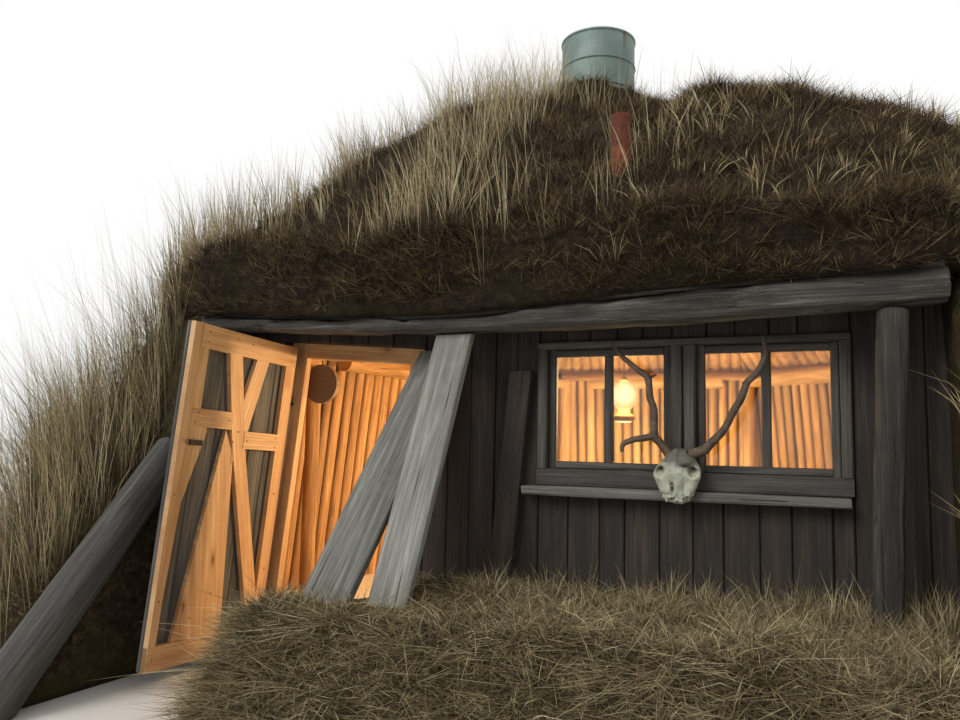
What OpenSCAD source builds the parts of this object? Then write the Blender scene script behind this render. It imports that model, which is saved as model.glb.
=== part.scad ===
// Turf house: a room of leaning poles under a turf dome, with a timber front in a notch of the turf.
// X runs along the front wall, Y runs into the house and Z is up.
// The origin is under the sill log, at the middle of the front wall's length and thickness.

/* [Front wall] */
// Thickness of the front wall
front_t = 110; // [100:5:130]
// Height of the front wall's top above the door leaf
over_door = 74; // [64:1:79]
// Distance of the left turf cheek from the middle of the front
cheek_left = 1510; // [1508:1:1530]
// Distance of the right turf cheek from the middle of the front
cheek_right = 1800; // [1795:5:1820]
// Height of the hewn sill log on the ground
sill_h = 110; // [80:5:130]

/* [Eave] */
// Distance of the eave log's lowest point under the front wall's top
eave_drop = 83; // [65:1:85]
// Rise of the eave log's underside at its left end above its lowest point
eave_rise = 80; // [50:5:100]
// Thickness of the eave log at its left end
eave_left_h = 66; // [60:2:72]
// Thickness of the eave log at its right end
eave_right_h = 124; // [110:2:126]
// Depth of the eave log from front to back
eave_d = 150; // [130:5:160]
// Distance of the eave log's middle line in front of the front wall
eave_y = 250; // [245:5:260]
// Left end of the eave log, measured from the middle of the front
eave_left = 1508; // [1500:1:1508]
// Right end of the eave log, measured from the middle of the front
eave_right = 1788; // [1770:2:1790]
// Thickness of the boards between the eave log and the front wall
eave_board_t = 22; // [18:1:26]
// Diameter of the two posts that carry the eave log
post_d = 105; // [90:5:110]
// Distance of the left post from the middle of the front
post_left = 1448; // [1444:1:1450]
// Distance of the right post's head from the middle of the front
post_right = 1612; // [1590:2:1620]
// Sideways lean of the right post, in degrees
post_lean = 2.5; // [0:0.5:4]

/* [Door] */
// Width of the door leaf
door_w = 761; // [700:1:770]
// Height of the door leaf
door_h = 1506; // [1450:2:1510]
// Thickness of the door's boards
door_board_t = 25; // [22:1:28]
// Thickness of the rails, stiles and braces on the door's inner side
door_brace_t = 28; // [24:1:30]
// How far the door stands open at rest, in degrees
door_open = 88; // [60:1:90]
// Sideways lean of the door frame, in degrees
rack_angle = 4.3; // [2:0.1:5]
// Backward lean of the door frame, in degrees
lean_angle = 2.5; // [1:0.1:2.5]
// Place of the leaf's hinge edge at its foot, measured from the middle of the front
hinge_x = 1285; // [1275:1:1290]
// Gap between the closed leaf and the frame
door_gap = 10; // [8:1:12]
// Distance of the hinge pins outside the leaf's edge
pin_out = 14; // [13:1:16]
// Distance of the hinge pins in front of the leaf's inner face
pin_back = 25; // [22:1:28]
// Distance from the leaf's hinge edge to the outside of the left jamb
jamb_out = 62; // [56:2:66]
// Distance from the leaf's hinge edge to the clear opening
opening_in = 40; // [30:2:46]
// Width of the clear opening between the jambs
opening_w = 628; // [600:2:630]
// Height by which the leaf laps over the frame's head
head_lap = 44; // [40:2:60]
// Thickness of the door frame from front to back
frame_d = 44; // [36:1:44]
// Height of the leaf's foot above the ground
door_foot = 55; // [45:1:60]

/* [Windows] */
// Width of the glass opening of one window
glass_w = 480; // [440:2:484]
// Height of the glass opening
glass_h = 462; // [420:2:470]
// Distance of the glass under the front wall's top
glass_drop = 165; // [159:1:173]
// Left edge of the left window's glass opening
glass_x = 268; // [260:1:276]
// Distance between the two windows' glass openings
stile_gap = 172; // [150:2:180]
// Width of the face of the casing's outer boards
casing_w = 75; // [60:1:80]
// Height of the casing's lower board
casing_low = 75; // [60:1:80]
// Height of the casing's upper board
casing_high = 31; // [26:1:36]
// Thickness by which the casing stands out from the wall
casing_t = 24; // [18:1:30]
// Width of the wood round the glass of each sash
sash_w = 34; // [28:1:38]
// Width of the upright bar in the middle of each sash
muntin_w = 37; // [28:1:44]
// Depth of the sashes from front to back
sash_d = 38; // [30:1:50]
// Thickness of the glass
glass_t = 4; // [3:1:6]
// Thickness of the window sill board
sill_board_h = 38; // [30:1:44]
// How far the window sill board stands out from the wall
sill_board_d = 85; // [70:1:100]

/* [Room] */
// Height of the middle of the purlins' half laps above the front wall's top
lap_rise = 30; // [25:1:33]
// Diameter of the purlin logs
purlin_d = 140; // [130:2:144]
// Diameter of the poles on the left and right walls
side_pole_d = 124; // [100:2:126]
// Diameter of the poles on the back walls
back_pole_d = 88; // [80:2:100]
// Diameter of the roof poles
roof_pole_d = 92; // [80:2:100]
// Distance between neighbouring poles as a share of their diameter
pole_pitch = 0.93; // [0.9:0.01:0.95]
// Inward lean of the pole walls, in degrees
wall_lean = 6.5; // [5:0.5:7]
// Gap left at the mitres between neighbouring pole panels
mitre_gap = 6; // [4:1:8]
// Diameter of the posts that carry the purlins
room_post_d = 100; // [80:5:110]

/* [Turf] */
// Height at which the left wing's sloping end would meet the front wall's plane
wing_z = 1317; // [1290:1:1340]
// Slope of the left wing's end, as rise over run
wing_slope = 1.09; // [1.04:0.01:1.14]
// Height of the turf walls' flat top above the front wall's top
turf_rise = 85; // [84:1:91]
// Reach of the turf wall's upper rim from the middle of the house
rim_reach = 2770; // [2740:5:2800]
// Reach of the turf's foot from the middle of the house
foot_reach = 3800; // [3700:10:3900]
// Height of the turf beside the smoke hole above the front wall's top
crown_rise = 1755; // [1715:5:1815]
// Height of the turf's front edge above the front wall's top
edge_rise = 375; // [345:5:425]
// Height of the tall grass on the left slope
slope_grass_h = 380; // [250:10:450]
// Height of the tall grass on the roof
roof_grass_h = 300; // [200:10:400]
// Height of the turf bank in front of the windows
bank_z = 445; // [420:5:460]
// Depth of the flat top of the turf bank
bank_flat = 850; // [820:10:900]
// Depth of the whole turf bank
bank_d = 1250; // [1150:10:1300]

/* [Chimney] */
// Distance of the smoke hole behind the front wall's outer face
smoke_y = 2050; // [2040:5:2060]
// Distance of the smoke hole to the left of the front's middle
smoke_x = 140; // [130:2:150]
// Height of the roof poles' upper ends above the front wall's top
smoke_rise = 1535; // [1505:2:1545]
// Diameter of the hole through the smoke hole frame
smoke_hole_d = 400; // [340:10:430]
// Height of the smoke hole frame
smoke_frame_h = 222; // [200:2:240]
// Diameter of the chimney drum
drum_d = 540; // [500:5:545]
// Height of the chimney drum
drum_h = 608; // [560:2:720]
// Thickness of the drum's sheet steel
drum_t = 5; // [4:1:7]

/* [Leaning timber] */
// Width of the light leaning plank
plank_w = 175; // [160:5:190]
// Width of the dark leaning plank to its left
wide_plank_w = 225; // [200:5:230]
// Thickness of the leaning planks
plank_t = 40; // [35:1:45]
// Width of the narrow dark plank
dark_plank_w = 110; // [90:5:120]
// Diameter of the log on the left wing at its foot
wing_log_foot = 195; // [180:5:200]
// Diameter of the log on the left wing at its top
wing_log_top = 178; // [160:2:180]
// Length of the log on the left wing
wing_log_l = 1390; // [1300:10:1400]

/* [Trophy and small things] */
// Width of the skull
skull_w = 190; // [170:2:200]
// Height of the skull above the foot of the window casing
skull_rise = 131; // [126:1:140]
// Diameter of an antler at its root
antler_d = 32; // [26:1:36]
// Diameter of the round wooden disc
disc_d = 210; // [180:5:230]
// Thickness of the round wooden disc
disc_t = 26; // [20:1:32]
// Diameter of the hanging lamp's globe
globe_d = 134; // [120:2:150]

/* [Hidden] */

// Hairline gap between seated pieces
seat = 0.2;
// Purlin corners in plan, from the front left corner round the back to the front right
room = [
    [-1580, 200], [-1980, 1300], [-1850, 2600], [-850, 3500],
    [700, 3700], [1750, 3050], [1980, 1500], [1600, 200]
];
corners = len(room);
purlin_r = purlin_d / 2;
smoke = [-smoke_x, smoke_y];
// Share of the room's plan that the smoke hole's frame takes
ring_k = 0.18;
front_top = door_foot + door_h + over_door;
eave_low = front_top - eave_drop;
opening_h = door_h - head_lap;
glass_z = front_top - glass_drop - glass_h;
lap_z = front_top + lap_rise;
wall_top = front_top + turf_rise;
crown_z = front_top + crown_rise;
edge_z = front_top + edge_rise;
smoke_z = front_top + smoke_rise;

// Puts the front wall's middle plane over the origin
module placed() { translate([0, -front_t / 2, 0]) children(); }

// Plain helpers
function unit(v) = v / norm(v);
function lerp(a, b, t) = a + (b - a) * t;
function clamp(v, a, b) = min(max(v, a), b);
function smooth(a, b, v) = let (t = clamp((v - a) / (b - a), 0, 1)) t * t * (3 - 2 * t);
function bump(p, x, y, wx, wy) = exp(-(pow((p[0] - x) / wx, 2) + pow((p[1] - y) / wy, 2)));
function lift(p, z) = [p[0], p[1], z];

// Directions and lengths of the room's sides
function side_dir(i) = unit(room[(i + 1) % corners] - room[i % corners]);
function side_out(i) = let (d = side_dir(i)) [-d[1], d[0]];
function side_len(i) = norm(room[(i + 1) % corners] - room[i % corners]);
function side_mid(i) = (room[(i + 1) % corners] + room[i % corners]) / 2;
function side_dist(i) = (room[i % corners] - smoke) * side_out(i);
function side_turn(i) = let (o = side_out(i)) atan2(o[1], o[0]) - 90;
function before(i) = (i + corners - 1) % corners;
// Angle between the directions of the two sides that meet at corner i
function bend(i) = acos(clamp(side_dir(before(i)) * side_dir(i % corners), -1, 1));

// Corner i when the side before it is moved out by da and the side after it by db
function corner_out(i, da, db) =
    let (
        n1 = side_out(before(i)),
        n2 = side_out(i % corners),
        det = n1[0] * n2[1] - n2[0] * n1[1]
    )
    room[i % corners] + [(da * n2[1] - db * n1[1]) / det, (db * n1[0] - da * n2[0]) / det];

// Roof planes pass under the poles, over the purlins and over the lower edge of the smoke hole's frame
plate_z = lap_z + purlin_r * 1.43;
function roof_tan(i) = (smoke_z - plate_z) / (side_dist(i) * (1 - ring_k));
function roof_angle(i) = atan(roof_tan(i));
function purlin_axis_z(i) = plate_z - purlin_r / cos(roof_angle(i));

// Distance of the pole wall's inner and outer faces from the purlin's middle line at height z
function pole_d(i) = (i >= 2 && i <= 4) ? back_pole_d : side_pole_d;
function wall_in(i, z) = purlin_r / cos(wall_lean) + (purlin_axis_z(i) - z) * tan(wall_lean);
function wall_out(i, z) = wall_in(i, z) + (pole_d(i) + seat) / cos(wall_lean);
function outer_corner(i, z) =
    corner_out(i, wall_out(max(i - 1, 0), z), wall_out(min(i, 6), z));

// Outer plan of the turf: a rounded square, measured by its reach from the middle of the house
plan_mid = [50, 2050];
function reach(p) =
    pow(pow(abs(p[0] - plan_mid[0]), 3) + pow(1.1 * abs(p[1] - plan_mid[1]), 3), 1 / 3);
// Distance along direction d from p at which the reach is r
function march(p, d, r, lo = 0, hi = 6000, n = 20) =
    n == 0 ? (lo + hi) / 2
    : let (m = (lo + hi) / 2) reach(p + d * m) < r ? march(p, d, r, m, hi, n - 1)
    : march(p, d, r, lo, m, n - 1);

// Height of the roof turf over a point of the plan
function dome_reach(p) =
    let (
        dx = p[0] < -smoke_x ? 0.97 * (-smoke_x - p[0]) : 0.88 * (p[0] + smoke_x),
        dy = p[1] < smoke_y ? 0.96 * (smoke_y - p[1]) : 1.05 * (p[1] - smoke_y)
    )
    pow(pow(dx, 3) + pow(dy, 3), 1 / 3);
function dome_z(p) = lookup(dome_reach(p), [
    [0, crown_z + 10], [350, crown_z], [800, crown_z - 62], [1300, crown_z - 420],
    [1800, crown_z - 930], [2300, edge_z - 15], [2620, edge_z - 115],
    [2800, wall_top + 60], [3000, wall_top + 20]
]);
function mound(p) =
    -173 * bump(p, 198, 1200, 450, 700) + 304 * bump(p, 2000, 1000, 800, 800)
    - 342 * bump(p, 530, 1000, 105, 600) + 48 * bump(p, -1800, 400, 600, 600);
function tufts(p) =
    15 * sin(p[0] * 0.31 + 40 * sin(p[1] * 0.11)) * sin(p[1] * 0.27 + 35)
    + 10 * sin(p[0] * 0.13 - p[1] * 0.19);
function turf_z(p) = max(dome_z(p) + mound(p) + tufts(p), wall_top + 62);

// A closed solid between an upper and a lower grid of points with the same rows and columns
module sheet(upper, lower) {
    rows = len(upper);
    cols = len(upper[0]);
    count = rows * cols;
    points = concat([for (r = upper) for (p = r) p], [for (r = lower) for (p = r) p]);
    function at(r, c) = r * cols + c;
    faces = concat(
        [for (r = [0 : rows - 2]) for (c = [0 : cols - 2]) each [
            [at(r, c), at(r, c + 1), at(r + 1, c + 1)],
            [at(r, c), at(r + 1, c + 1), at(r + 1, c)],
            [count + at(r, c), count + at(r + 1, c + 1), count + at(r, c + 1)],
            [count + at(r, c), count + at(r + 1, c), count + at(r + 1, c + 1)]
        ]],
        [for (c = [0 : cols - 2]) each [
            [at(0, c), count + at(0, c), count + at(0, c + 1)],
            [at(0, c), count + at(0, c + 1), at(0, c + 1)],
            [at(rows - 1, c), count + at(rows - 1, c + 1), count + at(rows - 1, c)],
            [at(rows - 1, c), at(rows - 1, c + 1), count + at(rows - 1, c + 1)]
        ]],
        [for (r = [0 : rows - 2]) each [
            [at(r, 0), count + at(r + 1, 0), count + at(r, 0)],
            [at(r, 0), at(r + 1, 0), count + at(r + 1, 0)],
            [at(r, cols - 1), count + at(r, cols - 1), count + at(r + 1, cols - 1)],
            [at(r, cols - 1), count + at(r + 1, cols - 1), at(r + 1, cols - 1)]
        ]]
    );
    polyhedron(points, faces, convexity = 8);
}

// A round bar through the points of path with the given radii, each ring square to the path
module bar(path, radii, sides = 10) {
    n = len(path);
    function dir(i) = unit(path[min(i + 1, n - 1)] - path[max(i - 1, 0)]);
    function across(i) = unit(cross(dir(i), [0, 1, 0.02]));
    points = [for (i = [0 : n - 1]) for (k = [0 : sides - 1])
        let (a = across(i), b = cross(dir(i), a), t = 360 * k / sides)
        path[i] + radii[i] * (a * cos(t) + b * sin(t))];
    faces = concat(
        [[for (k = [0 : sides - 1]) k]],
        [for (i = [0 : n - 2]) for (k = [0 : sides - 1]) let (q = (k + 1) % sides) each [
            [i * sides + k, (i + 1) * sides + k, (i + 1) * sides + q],
            [i * sides + k, (i + 1) * sides + q, i * sides + q]
        ]],
        [[for (k = [sides - 1 : -1 : 0]) (n - 1) * sides + k]]
    );
    polyhedron(points, faces, convexity = 6);
}

// Turf walls
// Steps of a wall section from its rim to its foot
wall_shares = [0, 0.165, 0.3, 0.45, 0.62, 0.8, 1];
// The end of the left wing is a straight bank that the wing log lies on
wing_foot_y = -1190;
function wall_profile(r) = lookup(r, [
    [rim_reach, wall_top], [2870, 1580], [3000, 1280], [3250, 850], [3500, 430], [3700, 150], [foot_reach, 20]
]);
function wall_z(p, r) =
    let (
        plain = wall_profile(r),
        cut = min(plain, wing_z + wing_slope * p[1]),
        share = p[1] < 0 && p[0] < 0 ? 1 - smooth(1790, 2200, -p[0]) : 0
    )
    max(lerp(plain, cut, share), 20);
// Reach of the foot, drawn in at the left cheek so that the bank ends at its foot line
function foot_at(p) =
    let (share = p[1] < 0 && p[0] < 0 ? 1 - smooth(1650, 2200, -p[0]) : 0)
    lerp(foot_reach - 10, reach([-cheek_left, wing_foot_y]), share);

// One station of a turf wall holds its inner foot, its inner top and the way that it faces
function station_plan(s) =
    let (foot = foot_at(s[1]))
    [for (f = wall_shares) let (r = lerp(rim_reach, foot, f)) s[1] + s[2] * march(s[1], s[2], r)];
function station_upper(s) =
    concat([lift(s[1], wall_top)], [for (q = station_plan(s))
        lift(q, reach(q) < rim_reach + 1 ? wall_top : wall_z(q, reach(q)))]);
function station_lower(s) =
    concat([lift(s[0], 0)], [for (q = station_plan(s)) lift(q, 0)]);
module turf_wall(stations) {
    sheet([for (s = stations) station_upper(s)], [for (s = stations) station_lower(s)]);
}

function corner_dir(i) = unit(room[i % corners] - smoke);
function side_stations(i) =
    let (f0 = outer_corner(i, 0), f1 = outer_corner(i + 1, 0))
    let (t0 = outer_corner(i, wall_top), t1 = outer_corner(i + 1, wall_top))
    [for (k = [0 : 6]) let (t = k / 6)
        [lerp(f0, f1, t), lerp(t0, t1, t), unit(lerp(corner_dir(i), corner_dir(i + 1), t))]];
module turf_wall_side(i) { turf_wall(side_stations(i)); }

// Where the outer face of the pole wall meets the plane at depth y, at height z
function cheek_inner(i, z, y = front_t + seat) =
    let (p = room[i == 0 ? 0 : 7] + side_out(i) * wall_out(i, z), d = side_dir(i))
    p + d * ((y - p[1]) / d[1]);

function left_stations() =
    let (f0 = cheek_inner(0, 0), t0 = cheek_inner(0, wall_top))
    let (f1 = outer_corner(1, 0), t1 = outer_corner(1, wall_top))
    concat(
        [for (t = [0, 0.3, 0.55, 0.8, 1]) [
            [lerp(-cheek_left, f0[0] - 1, t), -seat],
            [lerp(-cheek_left, t0[0] - 1, t), -seat],
            unit([-0.35 * t, -1])
        ]],
        [for (k = [0 : 7]) let (t = k / 7)
            [lerp(f0, f1, t), lerp(t0, t1, t), unit(lerp(unit([-0.55, -1]), corner_dir(1), t))]]
    );
module turf_wall_front_left() {
    color("#4a4231") placed() difference() {
        turf_wall(left_stations());
        wing_log_shape(seat);
    }
}

module turf_wall_front_right() {
    back = corner_dir(6);
    f0 = cheek_inner(6, 0);
    t0 = cheek_inner(6, wall_top);
    f1 = outer_corner(6, 0);
    t1 = outer_corner(6, wall_top);
    color("#4a4231") placed() turf_wall(concat(
        [for (k = [0 : 7]) let (t = k / 7)
            [lerp(f1, f0, t), lerp(t1, t0, t), unit(lerp(back, unit([0.55, -1]), t))]],
        [for (t = [1, 0.5, 0]) [
            [lerp(cheek_right, f0[0] + 1, t), -seat],
            [lerp(cheek_right, t0[0] + 1, t), -seat],
            unit([0.35 * t, -1])
        ]]
    ));
}

module turf_wall_left() { color("#4a4231") placed() turf_wall_side(1); }
module turf_wall_back_left() { color("#4a4231") placed() turf_wall_side(2); }
module turf_wall_back() { color("#4a4231") placed() turf_wall_side(3); }
module turf_wall_back_right() { color("#4a4231") placed() turf_wall_side(4); }
module turf_wall_right() { color("#4a4231") placed() turf_wall_side(5); }

// Turf bank in front of the windows: its left edge keeps clear of the door's swing
function bank_edge(y) = -470 - 255 * pow(clamp(-y / 700, 0, 1.3), 2);
module turf_bank() {
    ys = concat([for (k = [0 : 6]) lerp(-bank_d, -bank_flat, k / 6)], [-640, -430, -215, -seat]);
    function front(y) = smooth(-bank_d, -bank_flat, y);
    function row(t, y) =
        t < 0 ? [bank_edge(y) + 105 * (t + 1), y, lerp(12, max(bank_z * front(y), 12), smooth(-1, 0, t))]
        : [lerp(bank_edge(y) + 105, cheek_right - seat, t), y, max(bank_z * front(y), 12)];
    ts = [-1, -0.75, -0.5, -0.25, 0, 0.14, 0.3, 0.5, 0.7, 0.86, 1];
    color("#4d4636") placed() difference() {
        sheet(
            [for (t = ts) [for (y = ys) row(t, y)]],
            [for (t = ts) [for (y = ys) let (q = row(t, y)) [q[0], y, 0]]]
        );
        right_post(2 * seat);
    }
}

// Roof turf
// Lower face of the roof turf over side i, at the share k of the room's plan
function pole_top(i, s) = plate_z - s * roof_tan(i) + (roof_pole_d + seat) / cos(roof_angle(i));
// Point on the line where the roof turf leaves the poles over side i, at share t of its length
function pole_edge(i, t) =
    lerp(corner_out(i, purlin_r, purlin_r), corner_out(i + 1, purlin_r, purlin_r), t);
roof_steps = 8;
rim_steps = 4;
ring_in = ring_k + 0.0003;
function cover(p, low) = lift(p, max(turf_z(p), low + 60));
// Points of a roof station over the poles, from the smoke hole out to the edge e
function over_poles(e) = [for (k = [0 : roof_steps]) lerp(smoke + (e - smoke) * ring_in, e, k / roof_steps)];
function under_poles(i, e) =
    let (s0 = pole_top(i, -side_dist(i) * (1 - ring_in) + purlin_r * ring_in), s1 = pole_top(i, purlin_r))
    [for (k = [0 : roof_steps]) lerp(s0, s1, k / roof_steps)];

// Points of a roof station from the wall's top out to the rim
function to_rim(r) =
    let (end = march(r[0], r[1], rim_reach))
    [for (m = [0 : rim_steps]) r[0] + r[1] * lerp(26, end, m / rim_steps)];

// Where the front turf's side edges end, at the left and at the right
eave_corner_left = [-cheek_left - 1, -363];
eave_corner_right = [cheek_right + 1, -363];
function roof_rows(i, steps) =
    let (e0 = corner_out(0, purlin_r, purlin_r), e7 = corner_out(7, purlin_r, purlin_r))
    let (d0 = i == 0 ? unit(eave_corner_left - e0) : corner_dir(i))
    let (d1 = i == 6 ? unit(eave_corner_right - e7) : corner_dir(i + 1))
    [for (k = [0 : steps]) let (t = k / steps) [pole_edge(i, t), unit(lerp(d0, d1, t))]];
function roof_upper(i, r) =
    let (low = under_poles(i, r[0]), over = over_poles(r[0])) concat(
        [for (k = [0 : roof_steps]) cover(over[k], low[k])],
        [for (q = to_rim(r)) cover(q, wall_top)]
    );
module turf_roof_side(i, steps) {
    rows = roof_rows(i, steps);
    sheet(
        [for (r = rows) roof_upper(i, r)],
        [for (r = rows) let (low = under_poles(i, r[0]), over = over_poles(r[0])) concat(
            [for (k = [0 : roof_steps]) lift(over[k], low[k])],
            [for (q = to_rim(r)) lift(q, wall_top + seat)]
        )]
    );
}

module turf_roof_left() { color("#5b5138") placed() for (i = [0 : 1]) turf_roof_side(i, 8); }
module turf_roof_back() { color("#5b5138") placed() for (i = [2 : 4]) turf_roof_side(i, 7); }
module turf_roof_right() { color("#5b5138") placed() for (i = [5 : 6]) turf_roof_side(i, 8); }

// Eave log: its underside and thickness at share t of its length
function eave_share(x) = (x + eave_left) / (eave_left + eave_right);
function eave_low_curve(t) =
    eave_low + eave_rise * pow(1 - clamp(t / 0.52, 0, 1), 2) + 40 * pow(clamp((t - 0.5) / 0.5, 0, 1), 2);
function eave_thick_curve(t) = lerp(eave_left_h, eave_right_h, smooth(0.38, 0.75, t));
eave_nodes = 12;
// Heights follow straight pieces between the log's nodes
function eave_span(x) = clamp(floor(eave_share(x) * eave_nodes), 0, eave_nodes - 1);
function eave_low_at(x) =
    let (k = eave_span(x), f = eave_share(x) * eave_nodes - k)
    lerp(eave_low_curve(k / eave_nodes), eave_low_curve((k + 1) / eave_nodes), f);
function eave_top_at(x) =
    let (k = eave_span(x), f = eave_share(x) * eave_nodes - k, a = k / eave_nodes, b = (k + 1) / eave_nodes)
    lerp(eave_low_curve(a) + eave_thick_curve(a), eave_low_curve(b) + eave_thick_curve(b), f);
eave_xs = [for (k = [0 : eave_nodes]) lerp(-eave_left, eave_right, k / eave_nodes)];

module eave_log() {
    // Hewn section, in shares of the log's depth and height
    section = [
        [-0.5, 0.3], [-0.38, 0.08], [-0.14, 0], [0.16, 0], [0.42, 0.12], [0.5, 0.45],
        [0.46, 0.84], [0.3, 1], [-0.3, 1], [-0.46, 0.82]
    ];
    m = len(section);
    points = [for (x = eave_xs) for (s = section)
        [x, -eave_y + s[0] * eave_d, lerp(eave_low_at(x), eave_top_at(x), s[1])]];
    faces = concat(
        [[for (k = [0 : m - 1]) k]],
        [for (i = [0 : eave_nodes - 1]) for (k = [0 : m - 1]) let (q = (k + 1) % m) each [
            [i * m + k, (i + 1) * m + k, (i + 1) * m + q],
            [i * m + k, (i + 1) * m + q, i * m + q]
        ]],
        [[for (k = [m - 1 : -1 : 0]) eave_nodes * m + k]]
    );
    color("#6f6a60") placed() polyhedron(points, faces, convexity = 4);
}

// Left and right edges of the front turf at depth y
function edge_left(y) =
    let (e = corner_out(0, purlin_r, purlin_r)) lerp(eave_corner_left[0], e[0], (y + 363) / (e[1] + 363));
function edge_right(y) =
    let (e = corner_out(7, purlin_r, purlin_r)) lerp(eave_corner_right[0], e[0], (y + 363) / (e[1] + 363));

// Boards that carry the turf from the eave log back over the front wall
// Where the boards leave the log's flat top
eave_back = -eave_y + 0.3 * eave_d + 3;
board_ys = [-eave_y - 30, eave_back, -100, 0, front_t];
function board_end(y) = min(edge_right(y) - 2, eave_right - 1);
function board_row(y) = concat([for (k = [0 : eave_nodes - 1]) eave_xs[k]], [board_end(y)]);
function board_low(x, y) =
    lerp(eave_top_at(x), front_top, smooth(eave_back, 0, y)) + seat;
module eave_boards() {
    color("#575046") placed() sheet(
        [for (k = [0 : eave_nodes]) [for (y = board_ys) let (x = board_row(y)[k])
            [x, y, board_low(x, y) + eave_board_t]]],
        [for (k = [0 : eave_nodes]) [for (y = board_ys) let (x = board_row(y)[k])
            [x, y, board_low(x, y)]]]
    );
}

// Height of the front turf's top near its edge
function front_z(p) =
    max(turf_z(p), (edge_z - 25 + 70 * pow(clamp(-p[0] / cheek_left, 0, 1), 3) + tufts(p))
        * (p[1] < 0 ? 1 : 0));
pipe_at = [560, 20];
pipe_d = 88;
front_steps = 18;
function front_upper(e) =
    let (low = under_poles(7, e), over = over_poles(e))
    [for (k = [0 : roof_steps]) lift(over[k], max(front_z(over[k]), low[k] + 60))];
module turf_roof_front() {
    rows = [for (k = [0 : front_steps]) pole_edge(7, k / front_steps)];
    ys = concat([-363, -eave_y - 93], board_ys, [129.6]);
    lip = len(ys) - len(board_ys) - 1;
    // Row k of the edge strip at depth y: x and the height of its lower face
    function strip_x(k, y) =
        k == 0 ? edge_left(y) + 0.5
        : k == 1 ? -eave_left - 0.8
        : k == eave_nodes + 3 ? edge_right(y) - 0.5
        : board_row(y)[k - 2];
    function strip_low(k, y) =
        let (x = strip_x(k, y), yy = clamp(y, board_ys[0], front_t))
        k <= 1 || k == eave_nodes + 3 ? wall_top + seat
        : y < board_ys[0] - 1 ? eave_top_at(min(x, eave_right)) + (y < -eave_y - 100 ? -4 : 5)
        : board_low(x, yy) + eave_board_t + seat;
    color("#5b5138") placed() {
        sheet(
            [for (e = rows) front_upper(e)],
            [for (e = rows) let (low = under_poles(7, e), over = over_poles(e))
                [for (k = [0 : roof_steps]) lift(over[k], low[k])]]
        );
        difference() {
            sheet(
                [for (k = [0 : eave_nodes + 3]) [for (c = [0 : len(ys) - 1])
                    let (x = strip_x(k, ys[c]))
                    [x, ys[c], front_z([x, ys[c]]) - (c == 0 ? 45 : 0)]]],
                [for (k = [0 : eave_nodes + 3]) [for (c = [0 : len(ys) - 1])
                    [strip_x(k, ys[c]), ys[c], strip_low(k, ys[c])]]]
            );
            translate([pipe_at[0], pipe_at[1], front_z(pipe_at) - 60])
                cylinder(d = pipe_d + 2 * seat, h = 500, $fn = 48);
        }
    }
}

// Tall dry grass
// Share of its full height that the grass has at a point, in clumps about half a metre apart
function clump(p) = 0.4 + 0.3 * (1 + sin(p[0] * 0.72 + 30 * sin(p[1] * 0.3)) * sin(p[1] * 0.66 + 40));
// Grass of height h on a grid of points of the turf's upper face, thinning out over its left and right reach
module grass(grid, h, middle = -4000, reach = 4000) {
    sheet(
        [for (row = grid) [for (p = row)
            p + [0, 0, max(h * clump(p) * exp(-pow(max(p[0] - middle, 0) / reach, 2)), 25)]]],
        [for (row = grid) [for (p = row) p + [0, 0, seat]]]
    );
}
module tall_grass_slope() {
    function columns(row) = [for (c = [2 : 6]) row[c]];
    front = left_stations();
    side = side_stations(1);
    color("#8f7d52") placed() {
        grass([for (k = [2 : len(front) - 1]) columns(station_upper(front[k]))], slope_grass_h);
        grass([for (k = [0 : len(side) - 2]) columns(station_upper(side[k]))], slope_grass_h);
    }
}
module tall_grass_roof() {
    function columns(row, last) = [for (c = [1 : last]) row[c]];
    left = roof_rows(0, 8);
    back = roof_rows(1, 8);
    color("#8f7d52") placed() {
        grass([for (k = [1 : 8]) columns(roof_upper(0, left[k]), roof_steps + rim_steps)], roof_grass_h);
        grass([for (k = [0 : 7]) columns(roof_upper(1, back[k]), roof_steps + rim_steps)], roof_grass_h);
        grass(
            [for (k = [1 : 12]) columns(front_upper(pole_edge(7, k / front_steps)), roof_steps)],
            roof_grass_h, -700, 700
        );
    }
}

// Rusty length of pipe standing in the front turf
module rusty_pipe() {
    color("#7a3a22") placed() translate([pipe_at[0], pipe_at[1], front_z(pipe_at) - 60 + seat]) difference() {
        cylinder(d = pipe_d, h = 330, $fn = 48);
        translate([0, 0, 60]) cylinder(d = pipe_d - 8, h = 330, $fn = 48);
    }
}

// Pole panels
// Poles side by side along a side, centred on the origin
module pole_row(d, length, width) {
    pitch = d * pole_pitch;
    count = ceil(width / pitch / 2);
    for (k = [-count : count])
        translate([k * pitch, 0, 0]) cylinder(d = d, h = length, center = true, $fn = 32);
}

// Part of the plan that the wall panel on side i may fill, up to the mitres with its neighbours
module wall_wedge(i, z0, z1) {
    shift = side_dir(i) * mitre_gap / 2 / sin(65);
    out = side_out(i);
    function near(c) = outer_corner(c, wall_top) + unit(outer_corner(c, wall_top) - outer_corner(c, 0)) * 280;
    function far(c) = outer_corner(c, 0) + unit(outer_corner(c, 0) - outer_corner(c, wall_top)) * 300;
    n0 = i == 0 ? room[0] - out * 400 - side_dir(0) * 1500 : near(i) + shift;
    f0 = i == 0 ? room[0] + out * 900 - side_dir(0) * 1500 : far(i) + shift;
    n1 = i == 6 ? room[7] - out * 400 + side_dir(6) * 1500 : near(i + 1) - shift;
    f1 = i == 6 ? room[7] + out * 900 + side_dir(6) * 1500 : far(i + 1) - shift;
    translate([0, 0, z0]) linear_extrude(z1 - z0) polygon([n0, f0, f1, n1]);
}

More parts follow.
